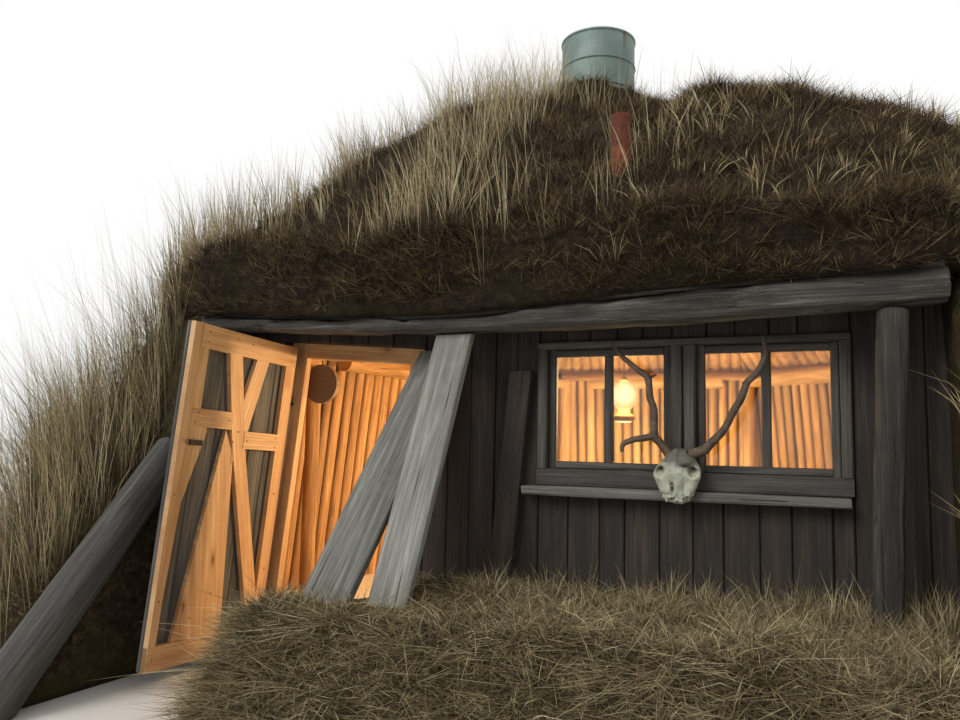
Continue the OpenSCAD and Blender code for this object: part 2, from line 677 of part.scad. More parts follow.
// Poles that lean inward against the outside of the purlin on side i
module wall_panel(i) {
    d = pole_d(i);
    mid = side_mid(i);
    intersection() {
        translate([mid[0], mid[1], purlin_axis_z(i)]) rotate([0, 0, side_turn(i)]) rotate([wall_lean, 0, 0])
            translate([0, purlin_r + d / 2 + seat / 2, 100 - purlin_axis_z(i) / 2])
                pole_row(d, purlin_axis_z(i) + 1000, side_len(i) + 800);
        wall_wedge(i, 0, wall_top - 22);
        if (i == 0 || i == 6) translate([-4000, front_t + seat, -10]) cube([8000, 8000, 3000]);
    }
}

module wall_poles_left() { color("#b98a55") placed() for (i = [0 : 3]) wall_panel(i); }
module wall_poles_right() { color("#b98a55") placed() for (i = [4 : 6]) wall_panel(i); }

// Poles that rest on the purlin of side i and lean against the smoke hole's frame
module roof_panel(i) {
    d = roof_pole_d;
    mid = side_mid(i);
    a = roof_angle(i);
    shift = side_dir(i) * mitre_gap / 2 / sin(60);
    c0 = pole_edge(i, 0);
    c1 = pole_edge(i, 1);
    near = ring_in * side_dist(i) / (side_dist(i) + purlin_r);
    intersection() {
        translate([mid[0], mid[1], plate_z]) rotate([0, 0, side_turn(i)]) rotate([90 - a, 0, 0])
            translate([0, d / 2 + seat / 2, 1000]) pole_row(d, 3400, side_len(i) + 300);
        translate([0, 0, lap_z - 100]) linear_extrude(2500) polygon([
            smoke + (c0 - smoke) * near + shift, smoke + (c0 - smoke) * 1.3 + shift,
            smoke + (c1 - smoke) * 1.3 - shift, smoke + (c1 - smoke) * near - shift
        ]);
        translate([mid[0], mid[1], 0]) rotate([0, 0, side_turn(i)])
            translate([-3000, -6000, 0]) cube([6000, 6000 + purlin_r * 0.8, 5000]);
    }
}

module roof_poles_front() { color("#a87c4c") placed() roof_panel(7); }
module roof_poles_left() { color("#a87c4c") placed() for (i = [0 : 3]) roof_panel(i); }
module roof_poles_right() { color("#a87c4c") placed() for (i = [4 : 6]) roof_panel(i); }

// Space over the plane that the roof poles of side i lie on
module over_plane(i) {
    mid = side_mid(i);
    translate([mid[0], mid[1], plate_z]) rotate([0, 0, side_turn(i)]) rotate([90 - roof_angle(i), 0, 0])
        translate([-3000, 0, -1000]) cube([6000, 500, 2500]);
}

// Purlin log on side i, lapped over or under its neighbours and hewn off under their roof poles
module purlin_log(i, upper) {
    c1 = (i + 1) % corners;
    e0 = purlin_r * tan(bend(i) / 2);
    e1 = purlin_r * tan(bend(c1) / 2);
    l0 = purlin_r / tan(bend(i) / 2) + 12;
    l1 = purlin_r / tan(bend(c1) / 2) + 12;
    z = upper ? lap_z - 400 : lap_z - seat;
    difference() {
        translate([room[i][0], room[i][1], 0]) rotate([0, 0, side_turn(i)]) difference() {
            translate([-e0, 0, purlin_axis_z(i)]) rotate([0, 90, 0])
                cylinder(d = purlin_d, h = side_len(i) + e0 + e1, $fn = 64);
            translate([-200, -200, z]) cube([200 + l0, 400, 400]);
            translate([side_len(i) - l1, -200, z]) cube([l1 + 200, 400, 400]);
        }
        over_plane(before(i));
        over_plane(c1);
    }
}

module purlins_lower() { color("#b07f4a") placed() for (i = [0 : 2 : 6]) purlin_log(i, false); }
module purlins_upper() { color("#b98850") placed() for (i = [1 : 2 : 7]) purlin_log(i, true); }

// Posts under the laps, saddled to the lower logs
module room_posts() {
    color("#9c7345") placed() for (i = [0 : corners - 1]) {
        low = i % 2 == 0 ? i : before(i);
        difference() {
            translate([room[i][0], room[i][1], 0])
                cylinder(d = room_post_d, h = purlin_axis_z(low) - 45, $fn = 40);
            translate([room[i][0], room[i][1], purlin_axis_z(low)]) rotate([0, 0, side_turn(low)])
                rotate([0, 90, 0]) cylinder(d = purlin_d + 2 * seat, h = 600, center = true, $fn = 64);
        }
    }
}

// Frame that the roof poles lean against, with the round smoke hole
module smoke_hole_frame() {
    color("#7b6040") placed() translate([0, 0, smoke_z - 2]) difference() {
        linear_extrude(smoke_frame_h) polygon([for (c = room) smoke + (c - smoke) * ring_k]);
        translate([smoke[0], smoke[1], -1]) cylinder(d = smoke_hole_d, h = smoke_frame_h + 2, $fn = 64);
    }
}

// Open steel drum with rolled hoops
module chimney_drum() {
    r = drum_d / 2 - 9;
    shape = [
        [0, 9], [0.012, 9], [0.03, 0], [0.33, 0], [0.345, 8], [0.36, 0],
        [0.64, 0], [0.655, 8], [0.67, 0], [0.97, 0], [0.982, 7], [1, 7]
    ];
    outer = [for (s = shape) [r + s[1], s[0] * drum_h]];
    inner = [for (k = [len(shape) - 1 : -1 : 0]) [r + shape[k][1] - drum_t, shape[k][0] * drum_h]];
    color("#5f7468") placed() translate([smoke[0], smoke[1], smoke_z - 2 + smoke_frame_h + seat])
        rotate_extrude($fn = 96) polygon(concat(outer, inner));
}

// Posts under the eave log's ends; the right one leans
// Height that stays under the eave log over the width w around x
function under_eave(x, w) = min(eave_low_at(x - w / 2 - 3), eave_low_at(x + w / 2 + 3)) - seat;
module right_post(grow = 0) {
    top = under_eave(post_right, post_d);
    intersection() {
        translate([post_right, -eave_y, top]) rotate([0, post_lean, 0])
            translate([0, 0, -top - 100]) cylinder(d = post_d + grow, h = top + 200, $fn = 48);
        translate([post_right - 400, -eave_y - 200, -grow]) cube([800, 400, top + grow]);
    }
}
module eave_posts() {
    color("#6a655b") placed() {
        translate([-post_left, -eave_y, 0])
            cylinder(d = post_d, h = under_eave(-post_left, post_d), $fn = 48);
        right_post();
    }
}

// Front wall
module sill_log() {
    color("#544d42") placed() translate([0, front_t, 0]) rotate([90, 0, 0]) linear_extrude(front_t) polygon([
        [cheek_inner(0, 0)[0] + 1, 0], [cheek_inner(0, sill_h)[0] + 1, sill_h],
        [cheek_inner(6, sill_h)[0] - 1, sill_h], [cheek_inner(6, 0)[0] - 1, 0]
    ]);
}

// Place in the front wall's plane of the door frame's line u across from the leaf's hinge edge, at height z
function door_x(u, z) =
    let (v = (z - door_foot + u * sin(rack_angle) * cos(lean_angle)) / (cos(rack_angle) * cos(lean_angle)))
    -hinge_x + u * cos(rack_angle) + v * sin(rack_angle);
// Height in the front wall's plane of the point u across and v up on the door frame
function door_z(u, v) =
    door_foot - u * sin(rack_angle) * cos(lean_angle) + v * cos(rack_angle) * cos(lean_angle);
// Limits of the frame outside the leaf
frame_in = -jamb_out;
frame_out = door_w + pin_out;
frame_head = door_h + 34;
wall_foot = sill_h + seat;

// A panel of the front wall drawn as an outline in its plane
module wall_board(outline) {
    translate([0, front_t, 0]) rotate([90, 0, 0]) linear_extrude(front_t) polygon(outline);
}

window_right = glass_x + 2 * glass_w + stile_gap;
window_low = glass_z - sash_w;
window_high = glass_z + glass_h + sash_w;
casing_left = glass_x - casing_w;
casing_right = window_right + casing_w;
casing_foot = window_low - casing_low;
casing_top = window_high + casing_high;

module front_wall_left() {
    color("#3f3a33") placed() wall_board([
        [cheek_inner(0, wall_foot)[0] + 1, wall_foot],
        [door_x(frame_in - 1, wall_foot), wall_foot],
        [door_x(frame_in - 1, front_top), front_top],
        [cheek_inner(0, front_top)[0] + 1, front_top]
    ]);
}
module front_wall_over_door() {
    a = frame_in - 0.6;
    b = frame_out + 0.6;
    color("#3f3a33") placed() wall_board([
        [door_x(a, door_z(a, frame_head)), door_z(a, frame_head) + 0.6],
        [door_x(b, door_z(b, frame_head)), door_z(b, frame_head) + 0.6],
        [door_x(b, front_top), front_top],
        [door_x(a, front_top), front_top]
    ]);
}
module front_wall_middle() {
    color("#3f3a33") placed() wall_board([
        [door_x(frame_out + 1, wall_foot), wall_foot],
        [casing_left - seat, wall_foot],
        [casing_left - seat, front_top],
        [door_x(frame_out + 1, front_top), front_top]
    ]);
}
module front_wall_below_windows() {
    color("#3f3a33") placed() wall_board([
        [casing_left, wall_foot], [casing_right, wall_foot],
        [casing_right, casing_foot - seat], [casing_left, casing_foot - seat]
    ]);
}
module front_wall_above_windows() {
    color("#3f3a33") placed() wall_board([
        [casing_left, casing_top + seat], [casing_right, casing_top + seat],
        [casing_right, front_top], [casing_left, front_top]
    ]);
}
module front_wall_right() {
    color("#3f3a33") placed() wall_board([
        [casing_right + seat, wall_foot],
        [cheek_inner(6, wall_foot)[0] - 1, wall_foot],
        [cheek_inner(6, front_top)[0] - 1, front_top],
        [casing_right + seat, front_top]
    ]);
}

// Windows
module window_casing() {
    color("#5a574f") placed() difference() {
        translate([casing_left, -casing_t, casing_foot])
            cube([casing_right - casing_left, casing_t + front_t, casing_top - casing_foot]);
        for (k = [0, 1])
            translate([glass_x - sash_w + k * (glass_w + stile_gap), -casing_t - 1, window_low])
                cube([glass_w + 2 * sash_w, front_t + casing_t + 2, window_high - window_low]);
        translate([glass_x + glass_w + stile_gap / 2 - 7, -casing_t - 1, casing_foot - 1])
            cube([14, 15, casing_top - casing_foot + 2]);
    }
}

sash_y = 14;
module window_sashes() {
    color("#615d54") placed() for (k = [0, 1])
        translate([glass_x + k * (glass_w + stile_gap), sash_y, glass_z]) difference() {
            translate([-sash_w + seat, 0, -sash_w + seat])
                cube([glass_w + 2 * (sash_w - seat), sash_d, glass_h + 2 * (sash_w - seat)]);
            for (p = [0, 1]) translate([p * (glass_w + muntin_w) / 2, -1, 0])
                cube([(glass_w - muntin_w) / 2, sash_d + 2, glass_h]);
        }
}

module window_glass() {
    pane_w = (glass_w - muntin_w) / 2;
    color([0.8, 0.85, 0.85, 0.4]) placed() for (k = [0, 1]) for (p = [0, 1])
        translate([
            glass_x + k * (glass_w + stile_gap) + p * (pane_w + muntin_w) + seat,
            sash_y + sash_d / 2, glass_z + seat
        ]) cube([pane_w - 2 * seat, glass_t, glass_h - 2 * seat]);
}

module window_sill() {
    color("#68645b") placed()
        translate([casing_left - 48, -sill_board_d, casing_foot - sill_board_h - seat])
            cube([casing_right - casing_left + 34, sill_board_d - seat, sill_board_h]);
}

// Door
// Puts the children in the leaning plane of the door frame, from the leaf's hinge edge at its foot
module doorway() {
    translate([-hinge_x, 0, door_foot]) rotate([-lean_angle, 0, 0]) rotate([0, rack_angle, 0]) children();
}
module door_frame() {
    color("#a1814f") placed() intersection() {
        doorway() difference() {
            translate([frame_in, 0, -20]) cube([frame_out - frame_in, frame_d, frame_head + 20]);
            translate([opening_in, -1, -100]) cube([opening_w, frame_d + 2, opening_h + 100]);
        }
        translate([-3000, -50, wall_foot]) cube([6000, front_t + 50, 3000]);
    }
}

leaf_t = door_board_t + door_brace_t;
pin_w = -door_gap - pin_back;
hinge_heights = [225, door_h - 285];
// Iron pins on brackets driven into the left jamb
module door_pintles() {
    color("#4a3a30") placed() doorway() for (v = hinge_heights) {
        translate([-pin_out, pin_w, v - 14]) cylinder(d = 12, h = 78, $fn = 32);
        translate([-pin_out - 6, pin_w, v - 14]) cube([12, -pin_w - seat, 14]);
    }
}

// Puts the children on the leaf, drawn closed, with its inner face at depth 0
module leaf() {
    doorway() translate([-pin_out, pin_w, 0]) rotate([0, 0, -door_open])
        translate([pin_out, -pin_w - door_gap, 0]) children();
}
module door_boards() {
    color("#57534b") placed() leaf() translate([0, -leaf_t, 0]) cube([door_w, door_board_t, door_h]);
}

// Rails, stiles and crossed braces on the inner side, drawn in the proportions of an 803 by 1534 leaf
module door_braces() {
    color("#b5824a") placed() leaf() rotate([90, 0, 0]) linear_extrude(door_brace_t - seat)
        scale([door_w / 803, door_h / 1534]) {
            square([80, 1534]);
            polygon([[803, 0], [803, 1534], [735, 1534], [690, 1440], [690, 1150], [625, 1051],
                [731, 720], [755, 294], [758, 0]]);
            translate([0, 1424]) square([745, 108]);
            square([803, 105]);
            translate([455, 1066]) square([290, 83]);
            translate([60, 980]) square([290, 85]);
            polygon([[452, 1460], [548, 1460], [436, 1018], [106, 33], [10, 33], [340, 1018]]);
            polygon([[216, 1460], [312, 1460], [436, 1050], [484, 1062], [665, 60], [316, 60],
                [407, 939], [336, 1018]]);
        }
}

// Strap hinges on the outer face, bent back to their eyes, and a thumb latch on the inner face
module door_straps() {
    color("#4a3a30") placed() leaf() {
        for (v = hinge_heights) translate([-pin_out, -pin_back, v + 1]) {
            difference() {
                union() {
                    cylinder(d = 25, h = 40, $fn = 40);
                    translate([-12.5, pin_back - leaf_t - 6, 0]) cube([9, leaf_t - pin_back + 6, 40]);
                    translate([-12.5, pin_back - leaf_t - 6, 0]) cube([door_w * 0.55, 6 - seat, 40]);
                }
                translate([0, 0, -1]) cylinder(d = 13, h = 42, $fn = 40);
            }
        }
        translate([door_w * 0.82, seat, door_h * 0.64]) cube([door_w * 0.1, 9, 24]);
    }
}

// Leaning timber
// A plank from the middle of its foot to the middle of its head, cut level at both ends
module plank(foot, head, width, thick, turn = 0) {
    u = unit(head - foot);
    v = unit([1, 0, 0] - u * u[0]);
    n = cross(u, v);
    a = v * cos(turn) + n * sin(turn);
    b = n * cos(turn) - v * sin(turn);
    intersection() {
        multmatrix([
            [a[0], b[0], u[0], foot[0]],
            [a[1], b[1], u[1], foot[1]],
            [a[2], b[2], u[2], foot[2]],
            [0, 0, 0, 1]
        ]) translate([-width / 2, -thick / 2, -200]) cube([width, thick, norm(head - foot) + 400]);
        translate([foot[0] - 1500, foot[1] - 1500, foot[2]]) cube([3000, 3000, head[2] - foot[2]]);
    }
}
module leaning_planks() {
    z = bank_z + seat;
    color("#7d8589") placed() {
        plank([-173, -653, z], [-110, -eave_y, under_eave(-110, plank_w)], plank_w, plank_t);
        plank([-437, -693, z], [-282, -plank_t / 2 - 8, front_top - 125], wide_plank_w, plank_t);
        plank([30, -31, z], [122, -31, front_top - 230], dark_plank_w, 60);
    }
}

// Log that lies on the sloping end of the left wing, bedded a little into the turf and grown by the given gap
module wing_log_shape(grow = 0) {
    slope = atan(wing_slope);
    foot_y = -wing_z / wing_slope - 60;
    bed = 14;
    translate([-cheek_left - 20, foot_y, wing_z + wing_slope * foot_y]) rotate([0, 0, 3])
        rotate([-(90 - slope), 0, 0]) translate([0, bed - wing_log_foot / 2, -grow])
            cylinder(
                d1 = wing_log_foot + 2 * grow, d2 = wing_log_top + 2 * grow,
                h = wing_log_l + 2 * grow, $fn = 64
            );
}
module wing_log() {
    color("#6f6f6c") placed() intersection() {
        wing_log_shape();
        translate([-3000, -3000, 0]) cube([6000, 6000, 3000]);
    }
}

// Skull and antlers
skull_at = [830, -casing_t - seat, casing_foot + skull_rise];
module skull() {
    w = skull_w;
    color("#b9beb6") placed() translate(skull_at) difference() {
        hull() {
            translate([0, -40, 0]) scale([w * 0.42, 40, 44]) sphere(1, $fn = 24);
            translate([0, -92, -60]) scale([w * 0.5, 38, 52]) sphere(1, $fn = 24);
            translate([0, -96, -140]) scale([w * 0.34, 30, 36]) sphere(1, $fn = 24);
        }
        for (s = [-1, 1]) translate([s * w * 0.36, -118, -52]) scale([20, 34, 22]) sphere(1, $fn = 16);
        translate([w * -0.08, -128, -120]) scale([9, 30, 18]) sphere(1, $fn = 12);
        translate(-skull_at) antler_bars(2 * seat);
        translate([-w, -sill_board_d - seat - skull_at[1], casing_foot - skull_at[2] - 150])
            cube([2 * w, 200, 150]);
    }
}

function scaled(r, shares) = [for (s = shares) s * r];
// Points whose heights are counted from the skull's
function at_skull(points) = [for (p = points) [p[0], p[1], skull_at[2] + p[2]]];
// Both antlers as bent bars with their tines, thicker by the given gap
module antler_bars(grow = 0) {
    r = antler_d / 2 + grow;
    bar(at_skull([
        [786, -68, 22], [752, -80, 66], [733, -98, 98], [736, -112, 198], [721, -118, 247],
        [713, -122, 329], [676, -118, 359], [595, -104, 428], [545, -92, 492]
    ]), scaled(r, [1.1, 0.95, 1, 0.8, 0.75, 0.8, 0.65, 0.5, 0.25]));
    bar(at_skull([
        [874, -68, 22], [924, -82, 36], [955, -96, 62], [1013, -112, 123], [1048, -120, 190],
        [1079, -124, 241], [1102, -122, 304], [1132, -118, 335], [1155, -110, 373],
        [1171, -96, 428], [1158, -84, 492]
    ]), scaled(r, [1.1, 1.25, 1, 0.8, 0.78, 0.8, 0.7, 0.66, 0.6, 0.5, 0.25]));
    // Brow tine and small back tines
    bar(at_skull([[731, -98, 92], [690, -112, 82], [655, -130, 76], [617, -146, 56], [612, -150, 24]]),
        scaled(r, [0.7, 0.65, 0.6, 0.5, 0.25]));
    bar(at_skull([[715, -121, 322], [726, -112, 334], [742, -104, 344]]), scaled(r, [0.5, 0.4, 0.2]));
    bar(at_skull([[1079, -124, 238], [1084, -114, 275], [1086, -106, 312]]), scaled(r, [0.5, 0.4, 0.2]));
}
module antlers() { color("#6e675b") placed() antler_bars(); }

// Lamp with a glass globe, hung on a rod from a roof pole
lamp_at = [side_mid(7)[0] + 4 * roof_pole_d * pole_pitch, 900];
module hanging_lamp() {
    r = globe_d / 2;
    z = lap_z - 313;
    head = plate_z + (lamp_at[1] - 4 - 200) * roof_tan(7) - seat;
    profile = concat(
        [[0, z - 140], [46, z - 140], [58, z - 126], [58, z - 104], [34, z - 92], [30, z - 78]],
        [for (a = [-62 : 12 : 70]) [r * cos(a), z + 84 * sin(a)]],
        [[18, z + 92], [10, z + 104], [4, z + 106], [4, head], [0, head]]
    );
    color("#d8c9a0") placed() translate([lamp_at[0], lamp_at[1], 0])
        rotate_extrude($fn = 64) polygon(profile);
}

// Round wooden disc hung from the front purlin beside the door
disc_z = lap_z - 284;
module wooden_disc() {
    color("#96703f") placed() translate([-1132, room[0][1], disc_z]) {
        rotate([90, 0, 0]) cylinder(d = disc_d, h = disc_t, center = true, $fn = 64);
        cylinder(d = 8, h = purlin_axis_z(7) - purlin_r - seat - disc_z, $fn = 24);
    }
}

turf_wall_front_left();
turf_wall_left();
turf_wall_back_left();
turf_wall_back();
turf_wall_back_right();
turf_wall_right();
turf_wall_front_right();
turf_bank();
turf_roof_front();
turf_roof_left();
turf_roof_back();
turf_roof_right();
tall_grass_slope();
tall_grass_roof();
wall_poles_left();
wall_poles_right();
roof_poles_front();
roof_poles_left();
roof_poles_right();
purlins_lower();
purlins_upper();
room_posts();
smoke_hole_frame();
chimney_drum();
rusty_pipe();
eave_log();
eave_boards();
eave_posts();
sill_log();
front_wall_left();
front_wall_over_door();
front_wall_middle();
front_wall_below_windows();
front_wall_above_windows();
front_wall_right();
window_casing();
window_sashes();
window_glass();
window_sill();
door_frame();
door_pintles();
door_boards();
door_braces();
door_straps();
leaning_planks();
wing_log();
skull();
antlers();
hanging_lamp();
wooden_disc();
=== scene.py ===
"""Looks of the turf house: turf and grass, weathered timber, door, windows, poles, lamp and antlers."""
import itertools
import math

import bmesh
import bpy
import numpy as np
from mathutils import Matrix, Vector


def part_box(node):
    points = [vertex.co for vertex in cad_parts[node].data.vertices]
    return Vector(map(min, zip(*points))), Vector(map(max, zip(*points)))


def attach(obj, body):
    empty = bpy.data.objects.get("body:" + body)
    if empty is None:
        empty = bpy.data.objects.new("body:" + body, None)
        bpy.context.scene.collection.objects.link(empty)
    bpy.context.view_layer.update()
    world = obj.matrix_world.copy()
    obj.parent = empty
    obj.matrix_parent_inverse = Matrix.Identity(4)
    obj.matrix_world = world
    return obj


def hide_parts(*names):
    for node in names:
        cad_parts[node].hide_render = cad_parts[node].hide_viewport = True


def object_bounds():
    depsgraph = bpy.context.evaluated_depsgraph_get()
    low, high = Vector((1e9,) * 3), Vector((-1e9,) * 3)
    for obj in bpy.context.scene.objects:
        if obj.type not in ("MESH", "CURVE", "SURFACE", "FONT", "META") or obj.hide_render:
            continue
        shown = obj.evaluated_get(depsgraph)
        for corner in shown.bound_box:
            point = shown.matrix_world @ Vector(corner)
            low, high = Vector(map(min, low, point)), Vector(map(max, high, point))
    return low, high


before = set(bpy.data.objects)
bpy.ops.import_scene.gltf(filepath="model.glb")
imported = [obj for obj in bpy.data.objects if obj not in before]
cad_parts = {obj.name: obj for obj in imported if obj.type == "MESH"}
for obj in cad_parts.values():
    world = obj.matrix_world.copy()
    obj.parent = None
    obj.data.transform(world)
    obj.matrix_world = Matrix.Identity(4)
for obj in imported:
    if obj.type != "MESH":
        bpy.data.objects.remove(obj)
cad_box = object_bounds()
HOUSE, LEAF = "house", "door_leaf"
# Blades stay in the model's box, with a margin of under 3% of each side
MARGIN = (cad_box[1] - cad_box[0]) * 0.028
GRASS_BOX = np.array([cad_box[0] - MARGIN, cad_box[1] + MARGIN])

# Sizes shared with the model, in metres: the front wall's thickness, and the heights of its sill log,
# its top and the poles
WALL_T, SILL_H, FRONT_TOP, POLE_TOP = 0.110, 0.110, 1.635, 1.698
# Door: place of the hinge edge, slants, leaf, gaps at the pins, and the frame round the leaf
HINGE_X, DOOR_FOOT = 1.285, 0.055
RACK, LEAN, OPEN = math.radians(4.3), math.radians(2.5), math.radians(88)
LEAF_W, LEAF_H, BOARD_T, BRACE_T = 0.761, 1.506, 0.025, 0.028
DOOR_GAP, PIN_OUT, PIN_BACK = 0.010, 0.014, 0.025
JAMB_OUT, OPENING_IN, OPENING_W, OPENING_H, FRAME_D = 0.062, 0.040, 0.628, 1.462, 0.044
FRAME_HEAD = LEAF_H + 0.034
# Space that the leaf sweeps: its middle, its top and its reach, with room to spare
DOOR_HINGE, DOOR_TOP, DOOR_SWEEP = (-1.281, -0.079), DOOR_FOOT + LEAF_H, LEAF_W + 0.04
# Windows: panes of a sash, the wood between two sashes, the sashes' bars and the casing
GLASS_W, GLASS_H, GLASS_X, GLASS_Z, STILE_GAP = 0.480, 0.462, 0.268, 1.008, 0.172
SASH_W, SASH_D, SASH_Y, MUNTIN_W, CASING_T = 0.034, 0.038, 0.014, 0.037, 0.024
# Middle of the smoke hole, and the corners of the room's plan
SMOKE = (-0.140, 2.050)
ROOM = [(-1.58, 0.2), (-1.98, 1.3), (-1.85, 2.6), (-0.85, 3.5),
        (0.7, 3.7), (1.75, 3.05), (1.98, 1.5), (1.6, 0.2)]
# Middle of the lamp's globe in the front wall's frame
LAMP_X, LAMP_Y, LAMP_Z = 0.352, 0.9, 1.352


def at(x, y, z):
    """A point given in the front wall's own frame, where the wall's outer face is at depth 0."""
    return Vector((x, y - WALL_T / 2, z))


def rgb(code):
    """A linear colour from a plain six-digit colour code."""
    values = [int(code[i : i + 2], 16) / 255 for i in (0, 2, 4)]
    return tuple(v / 12.92 if v <= 0.04045 else ((v + 0.055) / 1.055) ** 2.4 for v in values) + (1.0,)


# Shader nodes
class Nodes:
    """Short calls for the nodes of one shader tree."""

    def __init__(self, tree):
        self.tree = tree

    def set(self, socket, value):
        if isinstance(value, bpy.types.NodeSocket):
            self.tree.links.new(value, socket)
        else:
            socket.default_value = value

    def add(self, kind, output, inputs=None, **settings):
        """One output of a new node with the given settings and inputs."""
        node = self.tree.nodes.new("ShaderNode" + kind)
        for key, value in settings.items():
            setattr(node, key, value)
        for key, value in (inputs or {}).items():
            self.set(node.inputs[key], value)
        return node.outputs[output]

    def math(self, operation, first, second=0.0):
        return self.add("Math", 0, {0: first, 1: second}, operation=operation)


class Look(Nodes):
    """A principled material, with calls for patterns, colours and relief."""

    def __init__(self, name, roughness, **fixed):
        self.material = bpy.data.materials.new(name)
        self.material.use_nodes = True
        super().__init__(self.material.node_tree)
        self.shader = self.tree.nodes["Principled BSDF"]
        self.shader.inputs["Roughness"].default_value = roughness
        for key, value in fixed.items():
            self.shader.inputs[key.replace("_", " ")].default_value = value

    def points(self, stretch=(1, 1, 1), grain=False):
        """Places on the surface, from the piece's own grain map or in the frame, stretched per axis."""
        place = self.add("UVMap", "UV", uv_map="grain") if grain else self.add("TexCoord", "Object")
        return self.add("Mapping", "Vector", {"Scale": stretch, "Vector": place})

    def noise(self, scale, detail=4.0, rough=0.55, swirl=0.0, stretch=(1, 1, 1), grain=False):
        inputs = {"Scale": scale, "Detail": detail, "Roughness": rough, "Distortion": swirl}
        inputs["Vector"] = self.points(stretch, grain)
        return self.add("TexNoise", "Fac", inputs)

    def cells(self, vector, scale):
        return self.add("TexVoronoi", "Distance", {"Vector": vector, "Scale": scale})

    def ramp(self, factor, stops):
        """Colours, or greys given as numbers, along the factor."""
        output = self.add("ValToRGB", "Color", {"Fac": factor})
        elements = output.node.color_ramp.elements
        while len(elements) < len(stops):
            elements.new(0.5)
        for element, (place, color) in zip(elements, stops):
            element.position = place
            element.color = rgb(color) if isinstance(color, str) else (color, color, color, 1)
        return output

    def mix(self, factor, first, second, blend="MIX"):
        first, second = (rgb(c) if isinstance(c, str) else c for c in (first, second))
        inputs = {"Factor": factor, "A": first, "B": second}
        return self.add("Mix", "Result", inputs, data_type="RGBA", blend_type=blend)

    def over(self, color, other, factor, *stops):
        """The color, with the other over it as far as the factor's stops say."""
        return self.mix(self.ramp(factor, stops), color, other)

    def two_sizes(self, broad, fine):
        """Mostly the broad pattern, with some of the fine one."""
        return self.math("ADD", self.math("MULTIPLY", broad, 0.7), self.math("MULTIPLY", fine, 0.3))

    def value(self, name):
        """A number stored on the mesh's points."""
        return self.add("Attribute", "Fac", attribute_name=name)

    def upward(self, vector):
        """The Z part of a vector."""
        return self.add("SeparateXYZ", "Z", {0: vector})

    def paint(self, color):
        self.set(self.shader.inputs["Base Color"], color)

    def bump(self, height, distance):
        relief = self.add("Bump", "Normal", {"Distance": distance, "Height": height})
        self.set(self.shader.inputs["Normal"], relief)


# Camera, light and floor
def add_object(name, data):
    """A new object in the scene."""
    thing = bpy.data.objects.new(name, data)
    bpy.context.scene.collection.objects.link(thing)
    return thing


def make_camera():
    """Camera at the photograph's place and angle."""
    place = (1.46, -3.485, 1.07)
    yaw, pitch, roll = math.radians(24.5), math.radians(6.0), math.radians(1.2)
    forward = Vector((-math.sin(yaw) * math.cos(pitch), math.cos(yaw) * math.cos(pitch), math.sin(pitch)))
    right = Vector((math.cos(yaw), math.sin(yaw), 0))
    up = right.cross(forward)
    across = right * math.cos(roll) + up * math.sin(roll)
    above = up * math.cos(roll) - right * math.sin(roll)
    data = bpy.data.cameras.new("camera")
    data.sensor_width = 36
    data.lens = 30.375
    camera = add_object("camera", data)
    camera.matrix_world = axes_matrix(place, across, above, -forward)
    bpy.context.scene.camera = camera


def add_light(name, kind, place, energy, color, target=None, **settings):
    data = bpy.data.lights.new(name, kind)
    data.energy = energy
    data.color = color
    for key, value in settings.items():
        setattr(data, key, value)
    light = add_object(name, data)
    light.location = place
    if target is not None:
        light.rotation_mode = "QUATERNION"
        light.rotation_quaternion = (Vector(target) - Vector(place)).to_track_quat("-Z", "Y")


def make_studio():
    """White surround with soft light, a sun, the room's two warm lights, and the floor."""
    world = bpy.data.worlds.new("studio")
    bpy.context.scene.world = world
    world.use_nodes = True
    world.node_tree.nodes.clear()
    sky = Nodes(world.node_tree)
    white = (1, 1, 1, 1)
    rays = (sky.add("LightPath", f"Is {kind} Ray") for kind in ("Camera", "Glossy", "Transmission"))
    camera, glossy, through = rays
    seen = sky.math("MAXIMUM", sky.math("MAXIMUM", camera, glossy), through)
    soft = sky.add("Background", 0, {"Color": white, "Strength": 0.62})
    plain = sky.add("Background", 0, {"Color": white})
    surround = sky.add("MixShader", 0, {0: seen, 1: soft, 2: plain})
    out = world.node_tree.nodes.new("ShaderNodeOutputWorld")
    sky.set(out.inputs["Surface"], surround)
    add_light("key", "SUN", (-4, -8, 8), 1.5, (1, 1, 1), target=(0.5, 1.5, 1), angle=math.radians(30))
    add_light("lamp_glow", "POINT", at(LAMP_X, LAMP_Y, 1.36), 130, (1.0, 0.7, 0.38), shadow_soft_size=0.06)
    add_light("hearth_glow", "POINT", at(-0.1, 2.6, 0.75), 150, (1.0, 0.7, 0.33), shadow_soft_size=0.15)
    mesh = bpy.data.meshes.new("studio_floor")
    side = 200
    corners = [(-side, -side, 0), (side, -side, 0), (side, side, 0), (-side, side, 0)]
    mesh.from_pydata(corners, [], [(0, 1, 2, 3)])
    floor = add_object("studio_floor", mesh)
    floor.location.z = -0.002
    look = Look("studio_floor", 0.9)
    look.paint(rgb("e6e4df"))
    mesh.materials.append(look.material)
    bpy.context.scene.view_settings.view_transform = "Standard"


